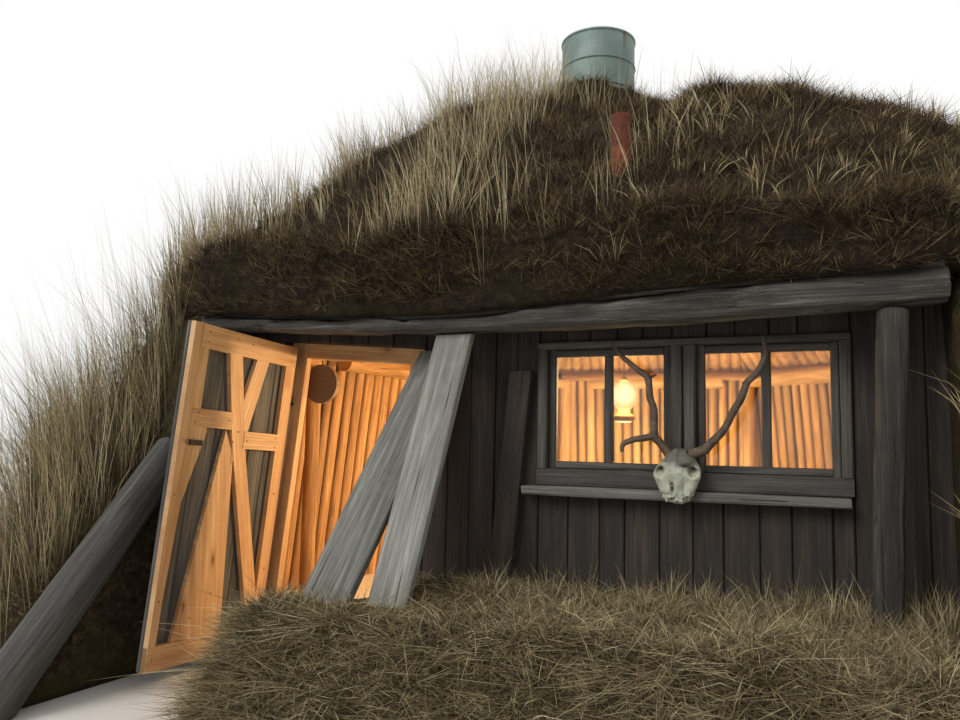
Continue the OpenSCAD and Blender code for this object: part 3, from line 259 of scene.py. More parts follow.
# Materials
def wood(name, pale, middle, dark, crack, roughness=0.85, along=(7, 0.6, 1), grain=True, knots=0.0,
         relief=0.003, splits=0.27):
    """Wood with long grain, streaks, cracks and, if asked for, knots."""
    look = Look(name, roughness)
    long = [a * (8 if a > 1 else 2) for a in along]
    fine = look.noise(2.2, 6.0, 0.7, 0.3, long, grain)
    broad = look.noise(2.2, 3.0, 0.5, 0.8, along, grain)
    streak = look.noise(1.7, 2.0, 0.5, 0.1, long, grain)
    blot = look.noise(9.0, 5.0, 0.7, grain=grain)
    specks = look.noise(26.0, 4.0, 0.7, stretch=(3, 1.2, 1), grain=grain)
    color = look.ramp(broad, [(0.3, dark), (0.5, middle), (0.72, pale)])
    color = look.over(color, dark, fine, (0.42, 0.0), (0.6, 0.7))
    color = look.over(color, pale, fine, (0.34, 0.45), (0.46, 0.0))
    color = look.over(color, middle, blot, (0.5, 0.0), (0.7, 0.45))
    color = look.over(color, dark, specks, (0.6, 0.0), (0.7, 0.6))
    split = look.ramp(streak, [(splits, 1.0), (splits + 0.03, 0.0)])
    color = look.mix(split, color, crack)
    if knots:
        spots = look.cells(look.points((3.2, 1.3, 1.3), grain), 1.6)
        rings = look.ramp(spots, [(0.05, 1.0), (0.1, 0.35), (0.16, 0.0)])
        color = look.mix(look.math("MULTIPLY", rings, knots), color, dark)
        color = look.over(color, crack, spots, (0.035, 0.8 * knots), (0.06, 0.0))
    # The tone differs at random from piece to piece; on the poles it also holds painted shade on their flanks
    if grain:
        tone = look.math("ADD", look.math("MULTIPLY", look.value("tone"), 0.5), 0.75)
        shade = look.add("CombineColor", 0, dict.fromkeys(range(3), tone))
        color = look.mix(1.0, color, shade, "MULTIPLY")
    look.paint(color)
    ridges, gaps = look.math("MULTIPLY", fine, 0.6), look.math("MULTIPLY", split, 0.8)
    look.bump(look.math("SUBTRACT", ridges, gaps), relief)
    return look.material


def soil(name, dark, middle, pale, moss, straw, matted=0.8, level=0.7):
    """Peat with roots, moss and matted straw where it faces up."""
    look = Look(name, 0.95, Specular_IOR_Level=0.15)
    clods = look.noise(2.4, 5.0, 0.6, 0.6)
    crumbs = look.noise(21.0, 8.0, 0.72, 0.3, (1, 1, 1.4))
    roots = look.noise(55.0, 5.0, 0.7, 1.5, (1, 1, 0.35))
    color = look.ramp(crumbs, [(0.33, dark), (0.52, middle), (0.74, pale)])
    color = look.over(color, moss, clods, (0.42, 0.0), (0.62, 0.75))
    facing_up = look.upward(look.add("NewGeometry", "Normal"))
    mat = look.math("MULTIPLY", look.ramp(facing_up, [(0.1, 0.0), (level, 1.0)]),
                    look.ramp(look.noise(7.0, 6.0, 0.7), [(0.4, 0.0), (0.64, matted)]))
    lying = look.math("MAXIMUM", look.noise(42.0, 4.0, 0.6, stretch=(3, 0.4, 1)),
                      look.noise(37.0, 4.0, 0.6, stretch=(0.5, 3, 1)))
    thatch = look.ramp(lying, [(0.45, dark), (0.56, middle), (0.68, straw)])
    color = look.mix(mat, color, thatch)
    look.paint(look.over(color, pale, roots, (0.6, 0.0), (0.7, 0.5)))
    look.bump(look.math("ADD", crumbs, look.math("MULTIPLY", lying, 0.5)), 0.04)
    return look.material


def grass(name, stops, root):
    """Blades from pale to dark by their tone, and darker towards the root of each."""
    look = Look(name, 0.8, Specular_IOR_Level=0.2)
    color = look.ramp(look.value("tone"), stops)
    color = look.over(color, root, look.noise(38.0, 2.0), (0.4, 0.0), (0.7, 0.35))
    # Each blade turns darker towards its root
    look.paint(look.over(color, root, look.value("rise"), (0.0, 0.85), (0.45, 0.0)))
    return look.material


def steel_drum():
    """Faded paint with rust streaks, more at the foot and under the rim."""
    look = Look("drum_steel", 0.55, Metallic=0.25)
    drum_foot = 3.36
    streaks = look.noise(1.6, 6.0, 0.65, 0.3, (9, 9, 0.9))
    spots = look.noise(17.0, 6.0, 0.7)
    faded = look.noise(3.2, 5.0)
    paint = look.ramp(faded, [(0.35, "667874"), (0.6, "7f908a"), (0.75, "8e9c95")])
    height = look.upward(look.add("TexCoord", "Object"))
    low = look.ramp(look.math("SUBTRACT", height, drum_foot), [(0.0, 1.0), (0.5, 0.35), (0.75, 0.75)])
    rust = look.ramp(look.math("ADD", streaks, look.math("MULTIPLY", low, 0.16)), [(0.66, 0.0), (0.8, 0.9)])
    brown = look.ramp(spots, [(0.35, "3c2014"), (0.6, "6f3a1f"), (0.75, "8c5530")])
    look.paint(look.mix(rust, paint, brown))
    look.bump(look.math("ADD", spots, rust), 0.004)
    return look.material


def blotched(name, roughness, scale, stops, **fixed):
    """A finish of two sizes of blotches, for iron, brass, horn and rust."""
    look = Look(name, roughness, **fixed)
    broad = look.noise(scale, 6.0, 0.65, 0.6)
    fine = look.noise(scale * 7, 5.0, 0.7)
    look.paint(look.ramp(look.two_sizes(broad, fine), stops))
    look.bump(fine, 0.003)
    return look.material


def old_bone():
    """Bleached bone with green algae, darkened by the shade value: painted shade in the hollows, with the
    dark suture and a darker top.
    """
    look = Look("old_bone", 0.65)
    broad = look.noise(15.0, 6.0, 0.65, 0.6)
    fine = look.noise(90.0, 5.0, 0.7)
    color = look.ramp(look.two_sizes(broad, fine), [(0.3, "868d78"), (0.47, "b3b6a2"), (0.66, "cfcebd")])
    color = look.over(color, "6d6f55", look.noise(34.0, 3.0), (0.55, 0.0), (0.72, 0.6))
    # Painted shade in the skull's hollows, with its suture and darker top, from the shade value
    look.paint(look.mix(look.value("shade"), color, "29251b"))
    look.bump(look.math("ADD", fine, broad), 0.003)
    return look.material


def clear_glass():
    """Old window glass with a slight wave."""
    look = Look("window_glass", 0.04, Transmission_Weight=1.0, IOR=1.45)
    look.paint(look.ramp(look.noise(3.0), [(0.3, "e9eeea"), (0.7, "dfe6df")]))
    look.bump(look.noise(4.0, 1.0), 0.002)
    return look.material


def lamp_glass():
    """The lamp's glass, faintly glowing."""
    look = Look("lamp_glass", 0.3, Emission_Strength=0.4)
    color = look.ramp(look.noise(30.0), [(0.3, "e9c58c"), (0.7, "f5dba8")])
    look.paint(color)
    look.set(look.shader.inputs["Emission Color"], color)
    return look.material


def end_grain():
    """Growth rings round the middle of the wooden disc."""
    look = Look("end_grain", 0.7)
    disc_middle = at(-1.132, 0.2, 1.381)
    place = look.add("Mapping", "Vector", {"Location": -disc_middle, "Scale": (1, 0.1, 1),
                                           "Vector": look.add("TexCoord", "Object")})
    rings = look.add("TexWave", "Fac", {"Scale": 26, "Distortion": 3, "Vector": place},
                     wave_type="RINGS", rings_direction="Y")
    look.paint(look.ramp(rings, [(0.1, "5a452f"), (0.6, "745b3e"), (0.95, "8c7150")]))
    look.bump(rings, 0.001)
    return look.material


def make_materials():
    """All finishes: wood takes pale, middle, dark and crack colours, soil dark to pale, moss and straw."""
    straw = [(0.0, "4b412f"), (0.25, "786a4d"), (0.5, "a3936d"), (0.75, "c6b68c"), (1.0, "e0d3ae")]
    heath = [(0.0, "261c15"), (0.3, "453629"), (0.6, "63513c"), (0.85, "86734f"), (1.0, "ab9a6f")]
    iron = [(0.3, "1d1a18"), (0.55, "3b312b"), (0.75, "5f4434")]
    brass = [(0.3, "6a4e22"), (0.6, "a98341"), (0.8, "c7a35c")]
    peeled = ("caa273", "ab8152", "7c5936", "3f2a18", 0.65)
    lying, standing = {"along": (0.6, 8, 8), "grain": False}, {"along": (8, 8, 0.6), "grain": False}
    return {
        "turf": soil("turf_soil", "19130f", "372b20", "66573f", "332e1e", "7d6f52", 0.6),
        "slope": soil("slope_soil", "211912", "473a2a", "766648", "45401f", "94845c", 1.0, 0.35),
        "bank": soil("bank_soil", "2a2118", "574935", "85755a", "4a4029", "b3a582", 1.0),
        "straw": grass("dry_grass", straw, "463a28"),
        "heath": grass("low_heath", heath, "1f1712"),
        "grey": wood("grey_wood", "8f8e86", "6e6c66", "4b4944", "24211d"),
        "pale_plank": wood("pale_plank", "b0afa5", "8f8e86", "66655f", "2f2e2a", knots=0.6, relief=0.004),
        "dark_plank": wood("dark_plank", "a1a19a", "7c7c76", "54544f", "22201d", knots=0.5, relief=0.005),
        "leaf": wood("leaf_board", "75736c", "55534e", "383733", "1a1815", knots=0.3),
        "wing": wood("wing_wood", "6f6c65", "4e4c47", "33312d", "151310", knots=0.4, relief=0.006),
        "black": wood("tarred_board", "4a4037", "332b24", "1f1a16", "0c0a08", 0.8),
        "eave": wood("eave_wood", "7e7a72", "4b4741", "2a2723", "100e0c", relief=0.012, **lying),
        "post": wood("post_wood", "5f5b54", "3e3a35", "272420", "12100e", relief=0.008, **standing),
        "sill": wood("sill_wood", "4f453b", "3a322a", "27211b", "0f0c0a", **lying),
        "frame": wood("window_wood", "66635c", "494640", "312e2a", "181613", 0.75),
        "pine": wood("fresh_pine", "dcb586", "c99c69", "a5764a", "5a3c22", 0.6, knots=1.0, relief=0.0012,
                     splits=0.2),
        "pole": wood("peeled_pole", "d3ab7b", "b58857", "835d38", "3f2a18", 0.65, along=(10, 0.7, 1),
                     knots=0.7),
        "beam": wood("pole_beam", *peeled, along=(2.5, 2.5, 2.5), grain=False, relief=0.001),
        "purlin": wood("pole_purlin", *peeled, along=(0.8, 0.8, 8), grain=False),
        "upright": wood("pole_post", *peeled, along=(8, 8, 0.7), grain=False),
        "drum": steel_drum(),
        "rust": blotched("rusty_pipe", 0.9, 9.0, [(0.3, "35190f"), (0.5, "6b3822"), (0.7, "93552f")]),
        "iron": blotched("old_iron", 0.7, 30.0, iron, Metallic=0.4),
        "bone": old_bone(),
        "horn": blotched("antler_horn", 0.6, 22.0, [(0.25, "2e251c"), (0.5, "574839"), (0.75, "8a7860")]),
        "glass": clear_glass(),
        "lamp": lamp_glass(),
        "brass": blotched("lamp_brass", 0.35, 25.0, brass, Metallic=0.9),
        "disc": end_grain(),
    }


# Noise and mesh helpers
# Large odd numbers that turn a cell's place into a seemingly random one
HASH = np.array([374761393, 668265263, 1440662683])


def soft_noise(points, scale, seed):
    """Smooth noise from -1 to 1 with a feature about every 1 / scale metres on each axis."""
    place = np.asarray(points) * scale + seed * 3.7
    cell = np.floor(place).astype(np.int64)
    share = place - cell
    share = share * share * (3 - 2 * share)
    total = np.zeros(len(place))
    for corner in itertools.product((0, 1), repeat=3):
        mixed = (cell + corner) @ HASH + seed * 362437
        mixed = (mixed ^ (mixed >> 13)) * 1274126177
        mixed = (mixed ^ (mixed >> 16)) & 0xFFFF
        weight = np.prod(np.where(corner, share, 1 - share), axis=1)
        total += weight * (mixed / 32767.5 - 1)
    return total


def layered(points, scale, layers, seed):
    """Noise in layers, each twice as fine and half as strong as the one before."""
    return sum(soft_noise(points, scale * 2**k, seed + k) / 2**k for k in range(layers))


def ramp_to(values, low, high):
    """Smooth rise from 0 at low to 1 at high."""
    share = np.clip((values - low) / (high - low), 0, 1)
    return share * share * (3 - 2 * share)


def finish_piece(name, mesh, finish, body, nodes=(), smooth=True):
    """Links a mesh as a piece that rides on a body and may stand for model nodes."""
    mesh.materials.append(MATERIALS[finish])
    if smooth:
        mesh.polygons.foreach_set("use_smooth", [True] * len(mesh.polygons))
    piece = add_object(name, mesh)
    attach(piece, body)
    if nodes:
        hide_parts(*nodes)
    return piece


def get_shape(mesh):
    """The mesh's points and their normals."""
    points, normals = np.zeros((2, len(mesh.vertices) * 3))
    mesh.vertices.foreach_get("co", points)
    mesh.vertex_normals.foreach_get("vector", normals)
    return points.reshape(-1, 3), normals.reshape(-1, 3)


def set_points(mesh, points):
    mesh.vertices.foreach_set("co", np.asarray(points, dtype=np.float64).ravel())
    mesh.update()


def mesh_from(shape, name):
    """A mesh of a shape under construction, which is freed."""
    mesh = bpy.data.meshes.new(name)
    shape.to_mesh(mesh)
    shape.free()
    return mesh


def node_mesh(nodes, swell):
    """One mesh of several model nodes, each grown a little so that neighbours meet."""
    joined = bmesh.new()
    for node in nodes:
        part = bmesh.new()
        part.from_mesh(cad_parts[node].data)
        bmesh.ops.remove_doubles(part, verts=part.verts, dist=0.00002)
        part.normal_update()
        for vert in part.verts:
            vert.co += vert.normal * swell
        copy = mesh_from(part, node + "_part")
        joined.from_mesh(copy)
        bpy.data.meshes.remove(copy)
    return mesh_from(joined, nodes[0] + "_joined")


def remeshed(nodes, voxel, swell=0.0):
    """The nodes' shape as one even mesh."""
    source = add_object("remesh_source", node_mesh(nodes, swell))
    modifier = source.modifiers.new("even", "REMESH")
    modifier.mode = "VOXEL"
    modifier.voxel_size = voxel
    bpy.context.view_layer.update()
    mesh = bpy.data.meshes.new_from_object(source.evaluated_get(bpy.context.evaluated_depsgraph_get()))
    bpy.data.objects.remove(source)
    return mesh


def weathered(name, nodes, voxel, stretch, depth, finish, seed):
    """A log or hewn timber with long grooves and dents along its grain."""
    mesh = remeshed(nodes, voxel)
    points, normals = get_shape(mesh)
    long = points * np.array(stretch)
    dents = layered(points, 5.0, 3, seed) * depth
    grooves = layered(long, 1.0, 3, seed + 5)
    cracks = -depth * 1.6 * (1 - ramp_to(np.abs(soft_noise(long, 0.6, seed + 9)), 0.02, 0.12))
    points = points + normals * (dents + grooves * depth * 0.5 + cracks)[:, None]
    points[:, 2] = np.maximum(points[:, 2], 0.0)
    set_points(mesh, points)
    finish_piece(name, mesh, finish, HOUSE, nodes)


def store(mesh, name, values):
    """Keeps a number for each point of a mesh, for its material."""
    attribute = mesh.attributes.new(name, "FLOAT", "POINT")
    attribute.data.foreach_set("value", np.asarray(values, dtype=np.float64))


def circle(sides):
    """The turns round a circle, and its points."""
    turns = np.linspace(0, 2 * math.pi, sides, endpoint=False)
    return turns, np.column_stack([np.cos(turns), np.sin(turns)])


def level(flat, height):
    """Points of a flat shape at one height, or each at its own."""
    return np.column_stack([flat, np.broadcast_to(height, len(flat))])


def grained_mesh(name, points, faces, uvs, tones):
    """A mesh with its grain map, in metres across and along, and a tone for each point."""
    mesh = bpy.data.meshes.new(name)
    mesh.from_pydata([tuple(p) for p in points], [], faces)
    layer = mesh.uv_layers.new(name="grain")
    corners = np.zeros(len(mesh.loops), dtype=np.int32)
    mesh.loops.foreach_get("vertex_index", corners)
    layer.data.foreach_set("uv", np.asarray(uvs, dtype=np.float64)[corners].ravel())
    store(mesh, "tone", tones)
    return mesh


class Timber:
    """Collects grained solids that share one piece."""

    def __init__(self, seed):
        self.rng = np.random.default_rng(seed)
        self.points, self.faces, self.uvs, self.tones = [], [], [], []

    def add(self, points, faces, uvs, tone, matrix=None):
        start = len(self.points)
        self.points += [matrix @ Vector(p) if matrix else Vector(p) for p in points]
        self.faces += [tuple(start + i for i in f) for f in faces]
        self.uvs += [tuple(u) for u in uvs]
        self.tones += list(np.broadcast_to(tone, len(points)))

    def tube(self, rings, uvs, tone, matrix=None):
        """Closed solid through rings of points, with flat fans at both ends."""
        rows, count = len(rings), len(rings[0])
        faces = []
        for r, k in itertools.product(range(rows - 1), range(count)):
            low, high, q = r * count, (r + 1) * count, (k + 1) % count
            faces.append((low + k, low + q, high + q, high + k))
        points = [p for ring in rings for p in ring]
        maps = [u for ring in uvs for u in ring]
        for row, way in ((0, -1), (rows - 1, 1)):
            middle = len(points)
            points.append(np.mean(rings[row], axis=0))
            maps.append(np.mean(uvs[row], axis=0))
            for k in range(count):
                pair = (row * count + k, row * count + (k + 1) % count)
                faces.append((middle, *pair[::way]))
        self.add(points, faces, maps, tone, matrix)

    def board(self, width, thick, length, matrix, step, across, wear, ragged=0.0, tone=None, cracks=0.0):
        """A board along its own Z axis, centred on X and Y, with worn edges and a relief along the grain."""
        worn = min(0.18 * min(width, thick), 0.006)
        corners = np.array([(-1, -1), (1, -1), (1, 1), (-1, 1)]) * (width / 2, thick / 2)
        outline = []
        for start, end in zip(corners, np.roll(corners, -1, axis=0)):
            side = np.linalg.norm(end - start)
            inset = (end - start) / side * worn
            count = max(1, round(across * side / max(width, thick)))
            outline += [start + inset + (end - start - 2 * inset) * j / count for j in range(count + 1)]
        outline = np.array(outline)
        around = np.concatenate([[0], np.cumsum(np.linalg.norm(np.diff(outline, axis=0), axis=1))])
        on_face = np.abs(outline[:, 1:]) > thick / 2 - worn * 0.5
        normal = np.where(on_face, [[0, 1]], [[1, 0]]) * np.sign(outline)
        offset = self.rng.uniform(0, 40, 2)
        seed = int(self.rng.integers(1, 9999))
        heights = np.linspace(0, length, max(2, round(length / step) + 1))
        rings, maps = [], []
        for z in heights:
            grain = level(outline * 22, z * 1.1)
            push = layered(grain, 1.0, 2, seed) * wear
            push += layered(level(outline * 3, z * 2.5), 1.0, 2, seed + 3) * wear
            if cracks:
                split = np.abs(soft_noise(grain * (0.55, 0.0, 0.25), 1.0, seed + 7))
                push -= cracks * (1 - ramp_to(split, 0.01, 0.05))
            lift = 0
            if ragged and z in (heights[0], heights[-1]):
                lift = soft_noise(level(outline * 25, z), 1.0, seed + 11) * ragged
            rings.append(level(outline + normal * push[:, None], z + lift))
            maps.append(level(around + offset[0], z + offset[1]))
        self.tube(rings, maps, self.rng.uniform(0.2, 0.8) if tone is None else tone, matrix)

    def log(self, r0, r1, length, matrix, sides, rows, wear, tone=None, gap_shade=0.0):
        """A round log along its own Z axis, a little uneven, with painted shade taken off its tone on both
        flanks, where logs side by side meet.
        """
        seed = int(self.rng.integers(1, 9999))
        offset = self.rng.uniform(0, 40, 2)
        turns, outline = circle(sides)
        rings, maps = [], []
        for z in np.linspace(0, length, rows):
            radius = r0 + (r1 - r0) * z / length
            swell = 1 + wear * layered(level(outline * 1.5, z * 1.6), 1.0, 2, seed)
            rings.append(level(outline * (radius * swell)[:, None], z))
            maps.append(level(turns * radius + offset[0], z + offset[1]))
        # Painted shade: the tone is lowered on both flanks, where the log meets its neighbours
        flank_shade = np.append(np.tile(ramp_to(np.abs(outline[:, 0]), 0.75, 0.97), rows), [0, 0])
        self.tube(rings, maps, (self.rng.uniform(0.1, 0.9) if tone is None else tone) - gap_shade * flank_shade, matrix)

    def slab(self, outline, near, far, matrix, along=(0, 1), edge=0.002, tone=None):
        """A flat piece with the given outline in X and Z, between two depths, with its edges eased."""
        outline = [Vector(p) for p in outline]
        if sum(a.cross(b) for a, b in zip(outline, outline[1:] + outline[:1])) < 0:
            outline.reverse()
        count = len(outline)
        inset = []
        for k, p in enumerate(outline):
            a = (p - outline[k - 1]).normalized()
            b = (outline[(k + 1) % count] - p).normalized()
            normal = Vector((-a.y, a.x)) + Vector((-b.y, b.x))
            inset.append(p + normal * (edge / max(1 + a.dot(b), 0.3)))
        loops = [(inset, near), (outline, near + edge), (outline, far - edge), (inset, far)]
        points = [(p.x, depth, p.y) for loop, depth in loops for p in loop]
        faces = [tuple(range(count)), tuple(range(4 * count - 1, 3 * count - 1, -1))]
        for r, k in itertools.product(range(3), range(count)):
            low, high, q = r * count, (r + 1) * count, (k + 1) % count
            faces.append((low + q, low + k, high + k, high + q))
        way = Vector(along).normalized()
        side = Vector((way.y, -way.x))
        shift = self.rng.uniform(0, 40, 2)
        uvs = []
        for x, y, z in points:
            flat = Vector((x, z))
            uvs.append((flat.dot(side) + y + shift[0], flat.dot(way) + shift[1]))
        self.add(points, faces, uvs, self.rng.uniform(0.25, 0.75) if tone is None else tone, matrix)

    def cut(self, plane, outward):
        """Cuts everything collected so far at a plane and keeps the inner side."""
        mesh = grained_mesh("cutting", self.points, self.faces, self.uvs, self.tones)
        shape = bmesh.new()
        shape.from_mesh(mesh)
        geometry = shape.verts[:] + shape.edges[:] + shape.faces[:]
        cut = bmesh.ops.bisect_plane(shape, geom=geometry, plane_co=plane, plane_no=outward, clear_outer=True)
        edges = [e for e in cut["geom_cut"] if isinstance(e, bmesh.types.BMEdge)]
        bmesh.ops.holes_fill(shape, edges=edges, sides=0)
        layer = shape.loops.layers.uv["grain"]
        tone = shape.verts.layers.float["tone"]
        shape.verts.index_update()
        self.points = [v.co.copy() for v in shape.verts]
        self.tones = [v[tone] for v in shape.verts]
        self.uvs = [(0, 0)] * len(self.points)
        for face in shape.faces:
            for loop in face.loops:
                if loop[layer].uv.length > 0:
                    self.uvs[loop.vert.index] = tuple(loop[layer].uv)
        self.faces = [tuple(v.index for v in face.verts) for face in shape.faces]
        shape.free()
        bpy.data.meshes.remove(mesh)

    def piece(self, name, finish, slot, nodes, body=HOUSE, smooth=False):
        """Makes one piece of everything collected."""
        mesh = grained_mesh(name, self.points, self.faces, self.uvs, self.tones)
        if smooth:
            mesh.polygons.foreach_set("use_smooth", [True] * len(mesh.polygons))
            mesh.set_sharp_from_angle(angle=math.radians(45))
        finish_piece(name, mesh, finish, body, nodes, smooth=False)


def axes_matrix(place, across, depth, along):
    """Matrix that puts X, Y and Z of a timber along the three given directions at a place."""
    matrix = Matrix((across, depth, along)).transposed().to_4x4()
    return Matrix.Translation(place) @ matrix


# Turf
def make_turf():
    """Turf of the roof, the walls and the bank, with lumps where it is free, each in place of its nodes."""
    roof_nodes = [f"turf_roof_{n}" for n in ("front", "left", "back", "right")]
    wall_nodes = [f"turf_wall_{n}" for n in
                  ("front_left", "left", "back_left", "back", "back_right", "right", "front_right")]
    house_middle, roof_edge = np.array([0.05, 2.0]), -0.33
    swell_height, lump_height, hump_height = 0.026, 0.022, 0.2
    meshes = []
    for name, nodes, voxel, slot, finish in (
        ("turf_roof", roof_nodes, 0.045, "grassy_turf", "turf"),
        ("turf_walls", wall_nodes, 0.064, "turf", "slope"),
        ("turf_front_bank", ["turf_bank"], 0.03, "turf", "bank"),
    ):
        mesh = remeshed(nodes, voxel, 0.004)
        points, normals = get_shape(mesh)
        free = ramp_to(normals[:, 2], -0.45, 0.05)
        if name == "turf_roof":
            free = np.where((points[:, 1] < roof_edge) & (normals[:, 1] < -0.3), 1.0, free)
        else:
            outward = ((points[:, :2] - house_middle) * normals[:, :2]).sum(1)
            free = np.where((normals[:, 2] > 0.12) | (outward > 0), free, 0.0)
            free = free * ramp_to(points[:, 2], 0.0, 0.08)
        if name == "turf_front_bank":
            free = free * ramp_to(-points[:, 1], 0.1, 0.2)
            # The bank's left end is drawn in, more towards its front
            drawn_in = 0.045 + 0.12 * ramp_to(-points[:, 1], 0.65, 1.0)
            points[:, 0] += drawn_in * ramp_to(-points[:, 0], 0.15, 0.6)
        lumps = layered(points, 2.6, 2, 11) * swell_height + layered(points, 9.0, 3, 23) * lump_height
        points = points + normals * (lumps * free)[:, None]
        if name == "turf_roof":
            # A hump of turf stands in front of the drum
            across, before = points[:, 0] - SMOKE[0] - 0.06, points[:, 1] - SMOKE[1] + 0.47
            hump = np.exp(-((across / 0.32) ** 2 + (before / 0.16) ** 2))
            points[:, 2] += hump_height * hump * ramp_to(normals[:, 2], 0.3, 0.7)
        points[:, 2] = np.maximum(points[:, 2], 0.0)
        set_points(mesh, points)
        meshes.append(finish_piece(name, mesh, finish, HOUSE, nodes).data)
    return meshes


def surface_samples(mesh, count, weigh, rng):
    """Random places on a mesh, with their normals, more where the weight is larger."""
    mesh.calc_loop_triangles()
    corners = np.zeros(len(mesh.loop_triangles) * 3, dtype=np.int32)
    mesh.loop_triangles.foreach_get("vertices", corners)
    corners = corners.reshape(-1, 3)
    points = get_shape(mesh)[0]
    a, b, c = (points[corners[:, k]] for k in range(3))
    cross = np.cross(b - a, c - a)
    size = np.linalg.norm(cross, axis=1)
    normals = cross / np.maximum(size, 1e-12)[:, None]
    weights = size * weigh((a + b + c) / 3, normals)
    picks = rng.choice(len(corners), count, p=weights / weights.sum())
    u, v = rng.uniform(0, 1, (2, count, 1))
    flip = u + v > 1
    u, v = np.where(flip, 1 - u, u), np.where(flip, 1 - v, v)
    return a[picks] + (b - a)[picks] * u + (c - a)[picks] * v, normals[picks]


def grow_grass(name, turf, tufts, blades, weigh, size, finish, seed, tone, droop, nodes=(),
               width=0.0035, loose=1.0, bends=(0.5,)):
    """Tufts of blades, all in one mesh: weigh says where they grow, size how long they are for places on
    the turf, and bends at which shares of its length a blade is bent."""
    tuft_radius, root_depth = 0.022, 0.006
    flat, up = np.array([1, 1, 0]), np.array([0, 0, 1.0])
    rng = np.random.default_rng(seed)
    roots, normals = surface_samples(turf, tufts, weigh, rng)
    lengths = size(roots, rng)
    tuft_lean = (rng.normal(0, 0.16, (tufts, 3)) * flat + normals * (0.25, 0.25, 0)) * loose
    tuft_tone = rng.uniform(*tone, tufts)
    count = tufts * blades
    own = np.repeat(np.arange(tufts), blades)
    spread = rng.normal(0, 1, (count, 3)) * flat
    spread -= normals[own] * (spread * normals[own]).sum(1)[:, None]
    length = lengths[own] * rng.uniform(0.45, 1.0, count)
    base = roots[own] + spread * tuft_radius - normals[own] * root_depth
    lean = tuft_lean[own] + (spread * 0.17 + rng.normal(0, 0.06, (count, 3)) * flat) * loose
    way = up + lean
    way /= np.linalg.norm(way, axis=1)[:, None]
    side = np.cross(way, rng.normal(0, 1, (count, 3)))
    side /= np.linalg.norm(side, axis=1)[:, None]
    bend = lean * rng.uniform(0.2, 1.3, count)[:, None] - up * rng.uniform(0, droop, count)[:, None]
    half = rng.uniform(0.6, 1.2, count)[:, None] * width / 2

    # Two points at the root and at each bend, and one at the tip
    last = len(bends) * 2 + 2
    points = np.zeros((count, last + 1, 3))
    rise = np.ones((count, last + 1))
    for k, share in enumerate((0.0, *bends)):
        middle = base + length[:, None] * (share * way + share**2 * bend)
        slim = 1 - 0.6 * share**1.5
        points[:, 2 * k] = middle - side * half * slim
        points[:, 2 * k + 1] = middle + side * half * slim
        rise[:, 2 * k : 2 * k + 2] = share
    points[:, last] = base + length[:, None] * (way + bend)
    kept = ((points > GRASS_BOX[0]) & (points < GRASS_BOX[1])).all(axis=(1, 2))
    kept &= ~in_door_swing(points).any(axis=1)
    points, rise, own, count = points[kept].reshape(-1, 3), rise[kept], own[kept], int(kept.sum())
    points[:, 2] = np.maximum(points[:, 2], 0.001)

    start = np.arange(count)[:, None] * (last + 1)
    quads = np.array([start + 2 * k + (0, 1, 3, 2) for k in range(len(bends))], dtype=np.int64).reshape(-1)
    tips = (start + (last - 2, last - 1, last)).reshape(-1)
    mesh = bpy.data.meshes.new(name)
    mesh.vertices.add(len(points))
    mesh.vertices.foreach_set("co", points.ravel())
    mesh.loops.add(len(quads) + len(tips))
    mesh.loops.foreach_set("vertex_index", np.concatenate([quads, tips]).astype(np.int32))
    mesh.polygons.add(count * (len(bends) + 1))
    starts = np.concatenate([np.arange(len(quads) // 4) * 4, len(quads) + np.arange(count) * 3])
    mesh.polygons.foreach_set("loop_start", starts.astype(np.int32))
    mesh.update(calc_edges=True)
    blade_tone = np.clip(tuft_tone[own] + rng.normal(0, 0.1, count), 0, 1)
    store(mesh, "tone", np.repeat(blade_tone, last + 1))
    store(mesh, "rise", rise.ravel())
    finish_piece(name, mesh, finish, HOUSE, nodes, smooth=False)


def in_door_swing(points):
    """Whether places lie in the space that the door's leaf sweeps."""
    across, out, height = (points[..., k] for k in range(3))
    hinge_x, hinge_y = DOOR_HINGE
    near = np.hypot(across - hinge_x, out - hinge_y) < DOOR_SWEEP
    return near & (across > hinge_x) & (height < DOOR_TOP)


def keep_clear(points):
    """False where grass would grow through the drum, the pipe, the wing's log or the standing timber."""
    x, y = points[:, 0], points[:, 1] + WALL_T / 2
    drum = np.hypot(x - SMOKE[0], y - SMOKE[1]) <= 0.33
    pipe = np.hypot(x - 0.56, y - 0.02) <= 0.07
    wing_log = (np.abs(x + 1.58) < 0.17) & (y < -0.3)
    planks = (np.abs(x + 0.3) < 0.26) & (y < -0.05) & (y > -0.76) & (points[:, 2] < 0.6)
    return ~(drum | pipe | wing_log | planks)


